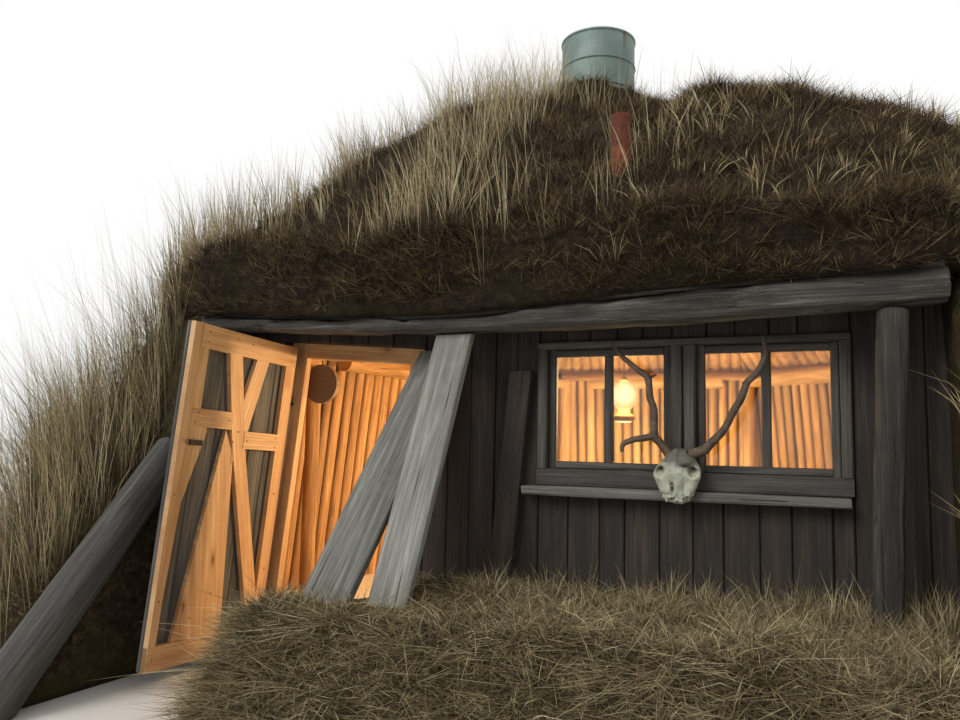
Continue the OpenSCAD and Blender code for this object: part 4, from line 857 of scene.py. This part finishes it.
def make_grass(roof, walls, bank):
    """Dry grass, heath and straw: where each kind grows, how long it is, and its tufts."""

    def patchy(p, n, scale=1.6, seed=31):
        return ramp_to(layered(p, scale, 3, seed), -0.3, 0.5) * ramp_to(n[:, 2], 0.05, 0.4)

    def free_turf(p, n):
        return (n[:, 2] > 0.1) * keep_clear(p)

    def left_weight(p, n):
        return (0.3 + patchy(p, n)) * ramp_to(-p[:, 0], 0.7, 1.5) * free_turf(p, n)

    def front_weight(p, n):
        tall = np.exp(-(((p[:, 0] + 0.35) / 0.7) ** 2)) + 0.35 * (p[:, 0] < -0.3) + 0.12 * (p[:, 0] < 0.8)
        return patchy(p, n, 2.2) * tall * (p[:, 1] < 2.2) * keep_clear(p)

    def low_weight(p, n):
        return (0.35 + patchy(p, n, 3.0, 47)) * free_turf(p, n)

    def near_weight(p, n):
        return low_weight(p, n) * (p[:, 1] < 2.3)

    def far_weight(p, n):
        return low_weight(p, n) * (p[:, 1] >= 2.3)

    def rest_weight(p, n):
        return (0.1 + patchy(p, n)) * ((p[:, 0] > 0.6) | (p[:, 1] > 1.9)) * free_turf(p, n)

    def edge_weight(p, n):
        return (p[:, 1] < -0.25) * (p[:, 2] > 1.7) * (0.3 + patchy(p, np.abs(n) + 0.4, 4.0, 53))

    def corner_weight(p, n):
        return np.exp(-(((p[:, 0] + 1.85) / 0.28) ** 2)) * (p[:, 1] < 0.3) * (n[:, 2] > 0.1)

    def bank_weight(p, n):
        hinge_x, hinge_y = DOOR_HINGE
        beside_door = ramp_to(np.hypot(p[:, 0] - hinge_x, p[:, 1] - hinge_y), 0.82, 0.95)
        return (0.7 + 0.7 * patchy(p, n, 2.6, 61)) * beside_door * free_turf(p, n)

    def foot_weight(p, n):
        return (p[:, 0] > 0.1) * (p[:, 1] > -0.42) * (0.25 + ramp_to(p[:, 0], 0.8, 1.7)) * free_turf(p, n)

    def size(low, high):
        return lambda roots, rng: rng.uniform(low, high, len(roots))

    def size_left(low, high, more):
        return lambda roots, rng: size(low, high)(roots, rng) * (1 + more * ramp_to(-roots[:, 0], 2.0, 3.1))

    def size_rest(roots, rng):
        return size(0.1, 0.24)(roots, rng) * (1 + 0.8 * ramp_to(roots[:, 1], 3.0, 4.2))

    # Name, turf, tufts, blades of each, where, how long, finish, seed, range of tones and droop
    grow_grass("grass_left_slope", walls, 2500, 9, left_weight, size_left(0.4, 0.75, 0.6), "straw",
               101, (0.1, 0.75), 0.1, ["tall_grass_slope"], loose=0.6)
    grow_grass("grass_left_stalks", walls, 1700, 3, left_weight, size_left(0.65, 1.05, 0.5), "straw",
               111, (0.45, 1.0), 0.04, width=0.003, loose=0.35)
    grow_grass("grass_left_roof", roof, 900, 6, left_weight, size(0.2, 0.48), "straw",
               102, (0.2, 0.85), 0.1, ["tall_grass_roof"], loose=0.6)
    grow_grass("grass_left_corner", roof, 90, 9, corner_weight, size(0.3, 0.65), "straw",
               112, (0.3, 0.9), 0.06, loose=0.4)
    grow_grass("grass_front_roof", roof, 850, 5, front_weight, size(0.2, 0.52), "straw",
               103, (0.35, 1.0), 0.12, width=0.003, loose=0.5, bends=(0.4, 0.75))
    grow_grass("heath_roof", roof, 11000, 10, near_weight, size(0.04, 0.14), "heath",
               104, (0.0, 1.0), 0.5, loose=1.6, bends=())
    grow_grass("heath_roof_back", roof, 3500, 10, far_weight, size(0.05, 0.13), "heath",
               110, (0.1, 0.9), 0.6, bends=())
    grow_grass("heath_walls", walls, 3600, 10, low_weight, size(0.05, 0.14), "heath",
               105, (0.1, 0.9), 0.6, bends=())
    grow_grass("grass_back_roof", roof, 1000, 9, rest_weight, size_rest, "straw",
               106, (0.2, 0.8), 0.4, width=0.005)
    grow_grass("grass_back_slope", walls, 1700, 9, rest_weight, size_rest, "straw",
               107, (0.2, 0.8), 0.4, width=0.005)
    grow_grass("grass_eave_edge", roof, 3800, 10, edge_weight, size(0.04, 0.13), "heath",
               108, (0.0, 0.95), 1.3, loose=1.5, bends=())
    grow_grass("grass_bank", bank, 2700, 9, bank_weight, size(0.07, 0.18), "straw",
               109, (0.05, 0.9), 0.8, width=0.003, loose=2.0)
    grow_grass("matted_straw", bank, 6000, 10, bank_weight, size(0.06, 0.14), "straw",
               114, (0.0, 0.85), 0.9, width=0.0032, loose=3.5, bends=())
    grow_grass("grass_wall_foot", bank, 260, 9, foot_weight, size(0.1, 0.26), "straw",
               113, (0.1, 0.8), 0.3, loose=0.8)


# Timber front
def rectangle(low_x, low_z, high_x, high_z):
    """The four corners of an upright rectangle."""
    return [(low_x, low_z), (high_x, low_z), (high_x, high_z), (low_x, high_z)]


def clip_outline(outline, x, side):
    """Part of a convex outline at the left of an upright line for side 1, or at its right for side -1."""
    kept = []
    for k, p in enumerate(outline):
        q = outline[(k + 1) % len(outline)]
        dp, dq = (p[0] - x) * side, (q[0] - x) * side
        if dp <= 0:
            kept.append(p)
        if dp * dq < 0:
            share = dp / (dp - dq)
            kept.append((p[0] + (q[0] - p[0]) * share, p[1] + (q[1] - p[1]) * share))
    return kept


def door_line(u, z):
    """Point at height z on the door frame's line that is u across from the leaf's hinge edge."""
    v = (z - DOOR_FOOT + u * math.sin(RACK) * math.cos(LEAN)) / (math.cos(RACK) * math.cos(LEAN))
    return -HINGE_X + u * math.cos(RACK) + v * math.sin(RACK), z


def frame_top(u):
    """Point on the door frame's upper edge, u across from the leaf's hinge edge."""
    z = DOOR_FOOT - u * math.sin(RACK) * math.cos(LEAN) + FRAME_HEAD * math.cos(RACK) * math.cos(LEAN)
    return door_line(u, z)


def wall_outlines():
    """Outline of each part of the front wall, taken from the model's boxes and the door frame's lines."""
    foot, top, end_slant, gap = SILL_H, FRONT_TOP, 0.12, 0.001
    left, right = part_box("front_wall_left")[0].x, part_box("front_wall_right")[1].x
    low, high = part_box("window_casing")
    a, b = -JAMB_OUT - gap, LEAF_W + PIN_OUT + gap
    return {
        "front_wall_left": [(left, foot), door_line(a, foot), door_line(a, top), (left + end_slant, top)],
        "front_wall_over_door": [frame_top(a), frame_top(b), door_line(b, top), door_line(a, top)],
        "front_wall_middle": [door_line(b, foot), (low.x, foot), (low.x, top), door_line(b, top)],
        "front_wall_below_windows": rectangle(low.x, foot, high.x, low.z),
        "front_wall_above_windows": rectangle(low.x, high.z, high.x, top),
        "front_wall_right": [(high.x, foot), (right, foot), (right - end_slant, top), (high.x, top)],
    }


def make_front_wall():
    """Each part of the front wall: upright boards of uneven width, over a closed layer."""
    gap, board_back, layer_front, narrowest = 0.002, 0.03, 0.026, 0.06
    place = Matrix.Translation(at(0, 0, 0))
    for seed, (node, outline) in enumerate(wall_outlines().items()):
        timber = Timber(200 + seed)
        x, end = min(p[0] for p in outline), max(p[0] for p in outline)
        while x < end - 0.02:
            width = timber.rng.uniform(0.1, 0.15)
            if end - x - width < narrowest:
                width = end - x
            strip = clip_outline(outline, x + gap, -1)
            strip = clip_outline(strip, x + width - gap, 1)
            if len(strip) > 2:
                front = timber.rng.uniform(0.0, 0.009)
                timber.slab(strip, front, board_back, place, edge=0.004)
            x += width
        timber.slab(outline, layer_front, WALL_T, place)
        timber.piece(node + "_boards", "black", "dark_wood", [node])


# Door: the leaf is drawn as 803 by 1534, and brought to its size
DRAWN_W, DRAWN_H = 803, 1534
NAILS = [(40, 1500), (40, 1450), (700, 1500), (700, 1455), (380, 1490), (500, 1500), (700, 1130),
         (715, 1085), (480, 1110), (90, 1045), (90, 1000), (325, 1020), (40, 60), (770, 55), (200, 50),
         (430, 50), (600, 60), (40, 760), (40, 380), (778, 760), (778, 300), (430, 1010), (400, 1060),
         (440, 300), (560, 200)]


def doorway_matrix():
    """Place of the door frame, racked in the wall's plane and leaning."""
    turn = Matrix.Rotation(-LEAN, 4, "X") @ Matrix.Rotation(RACK, 4, "Y")
    return Matrix.Translation(at(-HINGE_X, 0, DOOR_FOOT)) @ turn


def leaf_matrix():
    """Place of the leaf at rest, turned open about its pins."""
    pins = doorway_matrix() @ Matrix.Translation((-PIN_OUT, -DOOR_GAP - PIN_BACK, 0))
    return pins @ Matrix.Rotation(-OPEN, 4, "Z") @ Matrix.Translation((PIN_OUT, PIN_BACK, 0))


def make_door():
    """Door frame, and the leaf with its boards, crossed braces and nails."""
    place, leaf = doorway_matrix(), leaf_matrix()
    foot, inner, pale = 0.058, OPENING_IN + OPENING_W, 0.6
    jambs = Timber(301)
    for low, high in ((-JAMB_OUT, OPENING_IN), (inner, LEAF_W + PIN_OUT)):
        jambs.slab(rectangle(low, foot, high, FRAME_HEAD), 0, FRAME_D, place, tone=pale)
    head = rectangle(OPENING_IN, OPENING_H, inner, FRAME_HEAD)
    jambs.slab(head, 0.001, FRAME_D, place, along=(1, 0), tone=pale)
    jambs.piece("door_frame_jambs", "pine", "pine_poles", ["door_frame"])

    boards = Timber(302)
    count = 6
    width = LEAF_W / count
    for k in range(count):
        middle = leaf @ Matrix.Translation(((k + 0.5) * width, -BRACE_T - BOARD_T / 2, 0))
        boards.board(width - 0.002, BOARD_T - 0.001, LEAF_H, middle, 0.03, 8, 0.0006, cracks=0.0015)
    boards.piece("door_leaf_boards", "leaf", "grey_wood", ["door_boards"], LEAF, smooth=True)

    # Stiles, three slanting braces, the short rails between them, and the top and bottom rails
    hooked_stile = [(758, 0), (803, 0), (803, 1534), (735, 1534), (690, 1440), (690, 1150), (625, 1051),
                    (731, 720), (755, 294)]
    long_brace = [(452, 1460), (548, 1460), (436, 1018), (106, 60), (10, 60), (340, 1018)]
    members = [
        (rectangle(0, 0, 80, 1534), BRACE_T, (0, 1)),
        (hooked_stile, BRACE_T, (0, 1)),
        ([(316, 60), (665, 60), (484, 1062), (407, 939)], 0.022, (0.17, 1)),
        ([(216, 1460), (312, 1460), (436, 1050), (416, 900), (336, 1018)], 0.024, (-0.3, 1)),
        (long_brace, 0.026, (0.32, 1)),
        (rectangle(60, 980, 350, 1065), BRACE_T, (1, 0)),
        (rectangle(455, 1066, 745, 1149), BRACE_T, (1, 0)),
        (rectangle(0, 1424, 745, 1532), BRACE_T, (1, 0)),
        (rectangle(0, 0, 803, 105), BRACE_T, (1, 0)),
    ]
    to_size = Matrix.Diagonal((LEAF_W / DRAWN_W, 1, LEAF_H / DRAWN_H, 1))
    braces = Timber(303)
    for k, (outline, thick, along) in enumerate(members):
        # Each stands a little prouder than the one before, so that no two faces share a plane
        proud = 0.0002 * k
        braces.slab(outline, -BRACE_T, -BRACE_T + thick - 0.0025 + proud, leaf @ to_size, along, 0.0015)
    # Grain that was mapped in the drawing's units is brought to metres
    units, far = 1020, 60
    braces.uvs = [(u / units, v / units) if max(abs(u), abs(v)) > far else (u, v) for u, v in braces.uvs]
    braces.piece("door_leaf_braces", "pine", "pine_poles", ["door_braces"], LEAF)

    nails, radius, flatness = bmesh.new(), 0.0038, 0.45
    flat = leaf.to_3x3().to_4x4() @ Matrix.Diagonal((1, flatness, 1, 1))
    for u, v in NAILS:
        spot = leaf @ Vector((u * LEAF_W / DRAWN_W, -0.0012, v * LEAF_H / DRAWN_H))
        made = bmesh.ops.create_uvsphere(nails, u_segments=10, v_segments=6, radius=radius)
        bmesh.ops.transform(nails, matrix=Matrix.Translation(spot) @ flat, verts=made["verts"])
    finish_piece("door_nails", mesh_from(nails, "door_nails"), "iron", LEAF)


# Windows and loose timber
def make_windows():
    """Casing, sashes with their middle bars, and the sill, as worn boards."""
    low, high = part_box("window_casing")
    deep = WALL_T + CASING_T
    middle_y = low.y + deep / 2
    bottom, top = GLASS_Z - SASH_W, GLASS_Z + GLASS_H + SASH_W
    pitch, inner = GLASS_W + STILE_GAP, GLASS_X - SASH_W
    first_end = inner + GLASS_W + 2 * SASH_W
    second_end = inner + pitch + GLASS_W + 2 * SASH_W
    half_stile, half_joint = (STILE_GAP - 2 * SASH_W) / 2, 0.004
    lying = Matrix.Rotation(math.radians(90), 4, "Y")
    casing = Timber(401)
    for a, b in ((low.x, inner), (first_end, first_end + half_stile - half_joint),
                 (first_end + half_stile + half_joint, inner + pitch), (second_end, high.x)):
        place = Matrix.Translation(((a + b) / 2, middle_y, bottom))
        casing.board(b - a, deep, top - bottom, place, 0.025, 8, 0.0012)
    for z0, z1 in ((low.z, bottom), (top, high.z)):
        place = Matrix.Translation((low.x, middle_y, (z0 + z1) / 2)) @ lying
        casing.board(z1 - z0, deep, high.x - low.x, place, 0.03, 8, 0.0012)
    casing.piece("window_casing_boards", "frame", "window_wood", ["window_casing"], smooth=True)

    sashes = Timber(402)
    slight = (0.03, 4, 0.0006)
    depth = at(0, SASH_Y + SASH_D / 2, 0).y
    for left in (GLASS_X, GLASS_X + pitch):
        for a, b in ((left - SASH_W, left), (left + GLASS_W, left + GLASS_W + SASH_W)):
            place = Matrix.Translation(((a + b) / 2, depth, bottom))
            sashes.board(b - a - 0.001, SASH_D, top - bottom, place, *slight)
        bar = Matrix.Translation((left + GLASS_W / 2, depth, GLASS_Z))
        sashes.board(MUNTIN_W, SASH_D - 0.004, GLASS_H, bar, *slight)
        for z in (GLASS_Z - SASH_W / 2, GLASS_Z + GLASS_H + SASH_W / 2):
            place = Matrix.Translation((left, depth, z)) @ lying
            sashes.board(SASH_W - 0.001, SASH_D - 0.002, GLASS_W, place, *slight)
    sashes.piece("window_sash_bars", "frame", "window_wood", ["window_sashes"], smooth=True)

    low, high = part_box("window_sill")
    sill = Timber(403)
    place = Matrix.Translation((low.x, (low.y + high.y) / 2, (low.z + high.z) / 2)) @ lying
    sill.board(high.z - low.z, high.y - low.y, high.x - low.x, place, 0.02, 8, 0.0014, 0.004, cracks=0.002)
    sill.piece("window_sill_board", "grey", "grey_wood", ["window_sill"], smooth=True)


def leaning_plank(name, foot, head, width, thick, finish, seed, nodes=()):
    """A plank from its foot to its head, cut level at both ends."""
    spare = 0.2
    foot, head = at(*foot), at(*head)
    along = (head - foot).normalized()
    across = (Vector((1, 0, 0)) - along * along.x).normalized()
    place = axes_matrix(foot - along * spare, across, along.cross(across), along)
    length = (head - foot).length + 2 * spare
    timber = Timber(seed)
    timber.board(width - 0.002, thick - 0.001, length, place, 0.016, 30, 0.0012, tone=0.5, cracks=0.0006)
    timber.cut(foot, Vector((0, 0, -1)))
    timber.cut(head, Vector((0, 0, 1)))
    timber.piece(name, finish, "grey_wood", nodes, smooth=True)


def make_loose_timber():
    """Planks that lean on the front, the log on the left wing, and the hewn logs and posts."""
    bank_z = 0.4452
    leaning_plank("light_plank", (-0.173, -0.653, bank_z), (-0.110, -0.25, 1.5506), 0.175, 0.04,
                  "pale_plank", 501, ["leaning_planks"])
    leaning_plank("dark_wide_plank", (-0.437, -0.693, bank_z), (-0.282, -0.028, 1.51), 0.225, 0.04,
                  "dark_plank", 502)
    leaning_plank("dark_narrow_plank", (0.03, -0.031, bank_z), (0.122, -0.031, 1.405), 0.11, 0.056,
                  "black", 503)
    # The wing's log lies on a line that climbs at this slope to its height at the front
    climb, top_z, radius = 1.09, 1.317, 0.0975
    foot_y = -top_z / climb - 0.06
    turn = Matrix.Rotation(math.radians(3), 4, "Z")
    turn = turn @ Matrix.Rotation(math.atan(climb) - math.pi / 2, 4, "X")
    place = Matrix.Translation(at(-1.53, foot_y, top_z + climb * foot_y)) @ turn
    log = Timber(504)
    log.log(radius, 0.089, 1.39, place @ Matrix.Translation((0, 0.014 - radius, 0)), 48, 90, 0.03, 0.5)
    log.cut(Vector((0, 0, 0.0)), Vector((0, 0, -1)))
    log.piece("wing_log_weathered", "wing", "grey_wood", ["wing_log"], smooth=True)
    weathered("eave_log_hewn", ["eave_log"], 0.011, (2.2, 34, 34), 0.007, "eave", 61)
    weathered("eave_posts_worn", ["eave_posts"], 0.012, (34, 34, 2.2), 0.003, "post", 67)
    weathered("sill_log_hewn", ["sill_log"], 0.014, (2.2, 34, 34), 0.003, "sill", 71)


# Room
def make_poles():
    """Peeled poles side by side behind the front, leaning in against the round logs, with painted shade on
    their flanks where they meet.
    """
    purlin_r, lean, pitch_share = 0.07, math.radians(6.5), 0.93
    plate_z, smoke_z, smoke_share = 1.665 + purlin_r * 1.43, 3.17, 0.82
    thin, thick, end_room = 0.088, 0.124, 0.06
    timber = Timber(601)
    corners = [Vector(p) for p in ROOM]
    for i, (a, b) in enumerate(zip(corners, corners[1:])):
        along = (b - a).normalized()
        out = Vector((-along.y, along.x))
        slope = (smoke_z - plate_z) / ((a - Vector(SMOKE)).dot(out) * smoke_share)
        axis_z = plate_z - purlin_r * math.sqrt(1 + slope**2)
        size = thin if 2 <= i <= 4 else thick
        reach = (b - a).length / 2 + end_room
        steps = int(reach / (size * pitch_share))
        tilt = Vector((-out.x * math.sin(lean), -out.y * math.sin(lean), math.cos(lean)))
        face = Vector((out.x * math.cos(lean), out.y * math.cos(lean), math.sin(lean)))
        for k in range(-steps, steps + 1):
            spot = (a + b) / 2 + along * (k * size * pitch_share)
            start = Vector((spot.x, spot.y, axis_z)) + face * (purlin_r + size / 2)
            foot = start - tilt * (start.z / tilt.z)
            head = start + tilt * ((POLE_TOP - start.z) / tilt.z)
            if min(foot.y, head.y) < WALL_T + size / 2 + 0.004:
                continue
            place = axes_matrix(foot - Vector((0, WALL_T / 2, 0)), Vector((*along, 0)), face, tilt)
            radius = size / 2 * timber.rng.uniform(0.9, 1.0)
            top_radius = radius * timber.rng.uniform(0.88, 1.0)
            # Painted shade darkens each pole's flanks, where it meets the next pole
            timber.log(radius, top_radius, (head - foot).length, place, 14, 10, 0.035, gap_shade=1.7)
    timber.piece("wall_poles", "pole", "pine_poles", ["wall_poles_left", "wall_poles_right"], smooth=True)


def lathe(name, profile, finish, nodes=()):
    """A turned part of the lamp from radius and height pairs."""
    sides = 48
    shape = bmesh.new()
    rings = []
    for radius, z in profile:
        count = 1 if radius < 1e-5 else sides
        turns = [2 * math.pi * k / count for k in range(count)]
        rings.append([shape.verts.new((radius * math.cos(t), radius * math.sin(t), z)) for t in turns])
    for (lower, upper), k in itertools.product(zip(rings, rings[1:]), range(sides)):
        q = (k + 1) % sides
        corners = (lower[k % len(lower)], lower[q % len(lower)], upper[q % len(upper)], upper[k % len(upper)])
        corners = list(dict.fromkeys(corners))
        if len(corners) > 2:
            shape.faces.new(corners)
    bmesh.ops.recalc_face_normals(shape, faces=shape.faces)
    mesh = mesh_from(shape, name)
    mesh.transform(Matrix.Translation(at(LAMP_X, LAMP_Y, LAMP_Z)))
    return finish_piece(name, mesh, finish, HOUSE, nodes)


def make_lamp():
    """Glass globe, brass foot, cap and rod, with heights counted from the globe's middle."""
    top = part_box("hanging_lamp")[1].z - at(LAMP_X, LAMP_Y, LAMP_Z).z
    angles = [math.radians(a) for a in range(-62, 75, 8)]
    globe = [(0.0, -0.078), *((0.067 * math.cos(a), 0.084 * math.sin(a)) for a in angles), (0.0, 0.08)]
    lathe("lamp_globe", globe, "lamp", ["hanging_lamp"]).visible_shadow = False
    foot = [(0, -0.14), (0.044, -0.14), (0.05, -0.136), (0.058, -0.126), (0.058, -0.112), (0.05, -0.102),
            (0.034, -0.094), (0.03, -0.079), (0, -0.079)]
    lathe("lamp_foot", foot, "brass")
    cap = [(0, 0.078), (0.022, 0.079), (0.02, 0.092), (0.01, 0.104), (0.004, 0.107), (0.004, top), (0, top)]
    lathe("lamp_cap_and_rod", cap, "brass")


# Antlers and skull
# Points of each antler or tine in thousandths of a metre, and its thickness at each as a share of the root's
ANTLERS = [
    ([(786, -68, 1052), (752, -80, 1096), (733, -98, 1128), (736, -112, 1228), (721, -118, 1277),
      (713, -122, 1359), (676, -118, 1389), (595, -104, 1458), (545, -92, 1522)],
     [1.2, 1.05, 1.1, 0.92, 0.9, 0.92, 0.75, 0.6, 0.3]),
    ([(874, -68, 1052), (924, -82, 1066), (955, -96, 1092), (1013, -112, 1153), (1048, -120, 1220),
      (1079, -124, 1271), (1102, -122, 1334), (1132, -118, 1365), (1155, -110, 1403), (1171, -96, 1458),
      (1158, -84, 1522)],
     [1.2, 1.35, 1.1, 0.92, 0.9, 0.92, 0.85, 0.8, 0.75, 0.6, 0.3]),
    ([(731, -98, 1122), (690, -112, 1112), (655, -130, 1106), (617, -146, 1086), (612, -150, 1054)],
     [0.95, 0.9, 0.8, 0.7, 0.4]),
    ([(715, -121, 1352), (726, -112, 1364), (742, -104, 1374)], [0.5, 0.4, 0.2]),
    ([(1079, -124, 1268), (1084, -114, 1305), (1086, -106, 1342)], [0.5, 0.4, 0.2]),
]


def smooth_path(points, shares):
    """Even curve through the points, with the shares carried along."""
    steps = 7
    values = np.column_stack([np.array(points, dtype=float), shares])
    padded = np.vstack([2 * values[0] - values[1], values, 2 * values[-1] - values[-2]])
    out = []
    for k in range(1, len(padded) - 2):
        a, b, c, d = padded[k - 1 : k + 3]
        square, cube = 2 * a - 5 * b + 4 * c - d, 3 * b - a - 3 * c + d
        out += [0.5 * (2 * b + (c - a) * t + square * t**2 + cube * t**3) for t in np.arange(steps) / steps]
    return np.array([*out, values[-1]])


def make_antlers():
    """Beams and tines, each a tube along its smooth path."""
    timber = Timber(701)
    root = 0.016
    turns, outline = circle(14)
    for points, shares in ANTLERS:
        path = smooth_path(points, shares)
        centres = [at(*(p[:3] / 1000)) for p in path]
        rings, maps = [], []
        for k, centre in enumerate(centres):
            way = (centres[min(k + 1, len(centres) - 1)] - centres[max(k - 1, 0)]).normalized()
            across = way.cross(Vector((0, 1, 0.02))).normalized()
            other = way.cross(across)
            radius = root * path[k][3] * (1 + 0.07 * soft_noise(level(outline, k * 0.35), 1.8, 5))
            ring = [centre + (across * math.cos(t) + other * math.sin(t)) * r for t, r in zip(turns, radius)]
            rings.append(np.array(ring))
            maps.append(level(turns * 0.01, k * 0.01))
        timber.tube(rings, maps, 0.5)
    timber.piece("reindeer_antlers", "horn", "antler", ["antlers"], smooth=True)


def make_skull():
    """The skull's hollows, broken nose, suture and hole, in thousandths of a metre from its middle."""
    mesh = remeshed(["skull"], 0.004)
    points, normals = get_shape(mesh)
    x, y, z = ((points - np.array(at(0.83, -0.0242, 1.03))) * 1000).T
    side = np.abs(x)

    def spot(across, middle_x, middle_z, wide, high):
        return np.exp(-(((across - middle_x) / wide) ** 2) - ((z - middle_z) / high) ** 2)

    front = ramp_to(-normals[:, 1], 0.1, 0.6)
    push = 8 * spot(side, 72, -66, 16, 14) + 6 * spot(side, 0, -70, 26, 44) + 7 * spot(side, 58, -18, 13, 10)
    push -= front * (9 * spot(side, 36, -100, 12, 28) + 6 * spot(side, 26, -8, 20, 12))
    # The hollows are pushed in, and the same mask paints shade into them further on
    hollow = (spot(side, 64, -40, 13, 9) + 0.7 * spot(x, 34, -22, 22, 9)) * front
    push -= 12 * hollow
    ragged = soft_noise(points, 70.0, 5) + 0.8 * soft_noise(points, 170.0, 6)
    push += ragged * 9 * ramp_to(-z, 112, 160) * front
    suture = np.exp(-(((x + 2.5 * np.sin(z * 0.35)) / 1.6) ** 2)) * ramp_to(z, -90, -50)
    push -= 1.6 * suture + 1.6 * layered(points, 38.0, 3, 3)
    # The hole is pushed in, and the same mask paints shade into it further on
    hole = spot(x, -17, -104, 8, 14) * front
    push -= 9 * hole
    points = points + normals * push[:, None] / 1000
    points[:, 0] -= x / 1000 * 0.2 * ramp_to(z, -45, 15)
    set_points(mesh, points)
    # The top is darker, with a wavy lower edge
    darker_top = ramp_to(z + 22 * soft_noise(points, 30.0, 8), -62, -5) * 0.75
    # Painted shade in the pits of the broken nose, where the surface was pushed in
    ragged_shade = ramp_to(-ragged, 0.1, 0.8) * ramp_to(-z, 112, 150)
    # The shade value: painted shade in the hollows, the hole and the nose's pits, with the dark suture line
    # and the darker top
    store(mesh, "shade", np.clip(0.95 * hollow + 1.3 * hole + 0.5 * suture + darker_top + 0.7 * ragged_shade, 0, 1))
    finish_piece("reindeer_skull", mesh, "bone", HOUSE, ["skull"])


def dress_nodes():
    """Finishes for the model's own pieces that keep their shape."""
    for finish, nodes in (
        ("beam", ("roof_poles_front", "roof_poles_left", "roof_poles_right")),
        ("purlin", ("purlins_lower", "purlins_upper", "smoke_hole_frame")),
        ("iron", ("door_pintles", "door_straps")),
        ("upright", ("room_posts",)),
        ("eave", ("eave_boards",)),
        ("drum", ("chimney_drum",)),
        ("rust", ("rusty_pipe",)),
        ("glass", ("window_glass",)),
        ("disc", ("wooden_disc",)),
    ):
        for node in nodes:
            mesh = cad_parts[node].data
            mesh.materials.clear()
            mesh.materials.append(MATERIALS[finish])


make_camera()
make_studio()
MATERIALS = make_materials()
dress_nodes()
make_grass(*make_turf())
make_front_wall()
make_door()
make_windows()
make_loose_timber()
make_poles()
make_lamp()
make_antlers()
make_skull()

bpy.context.view_layer.update()
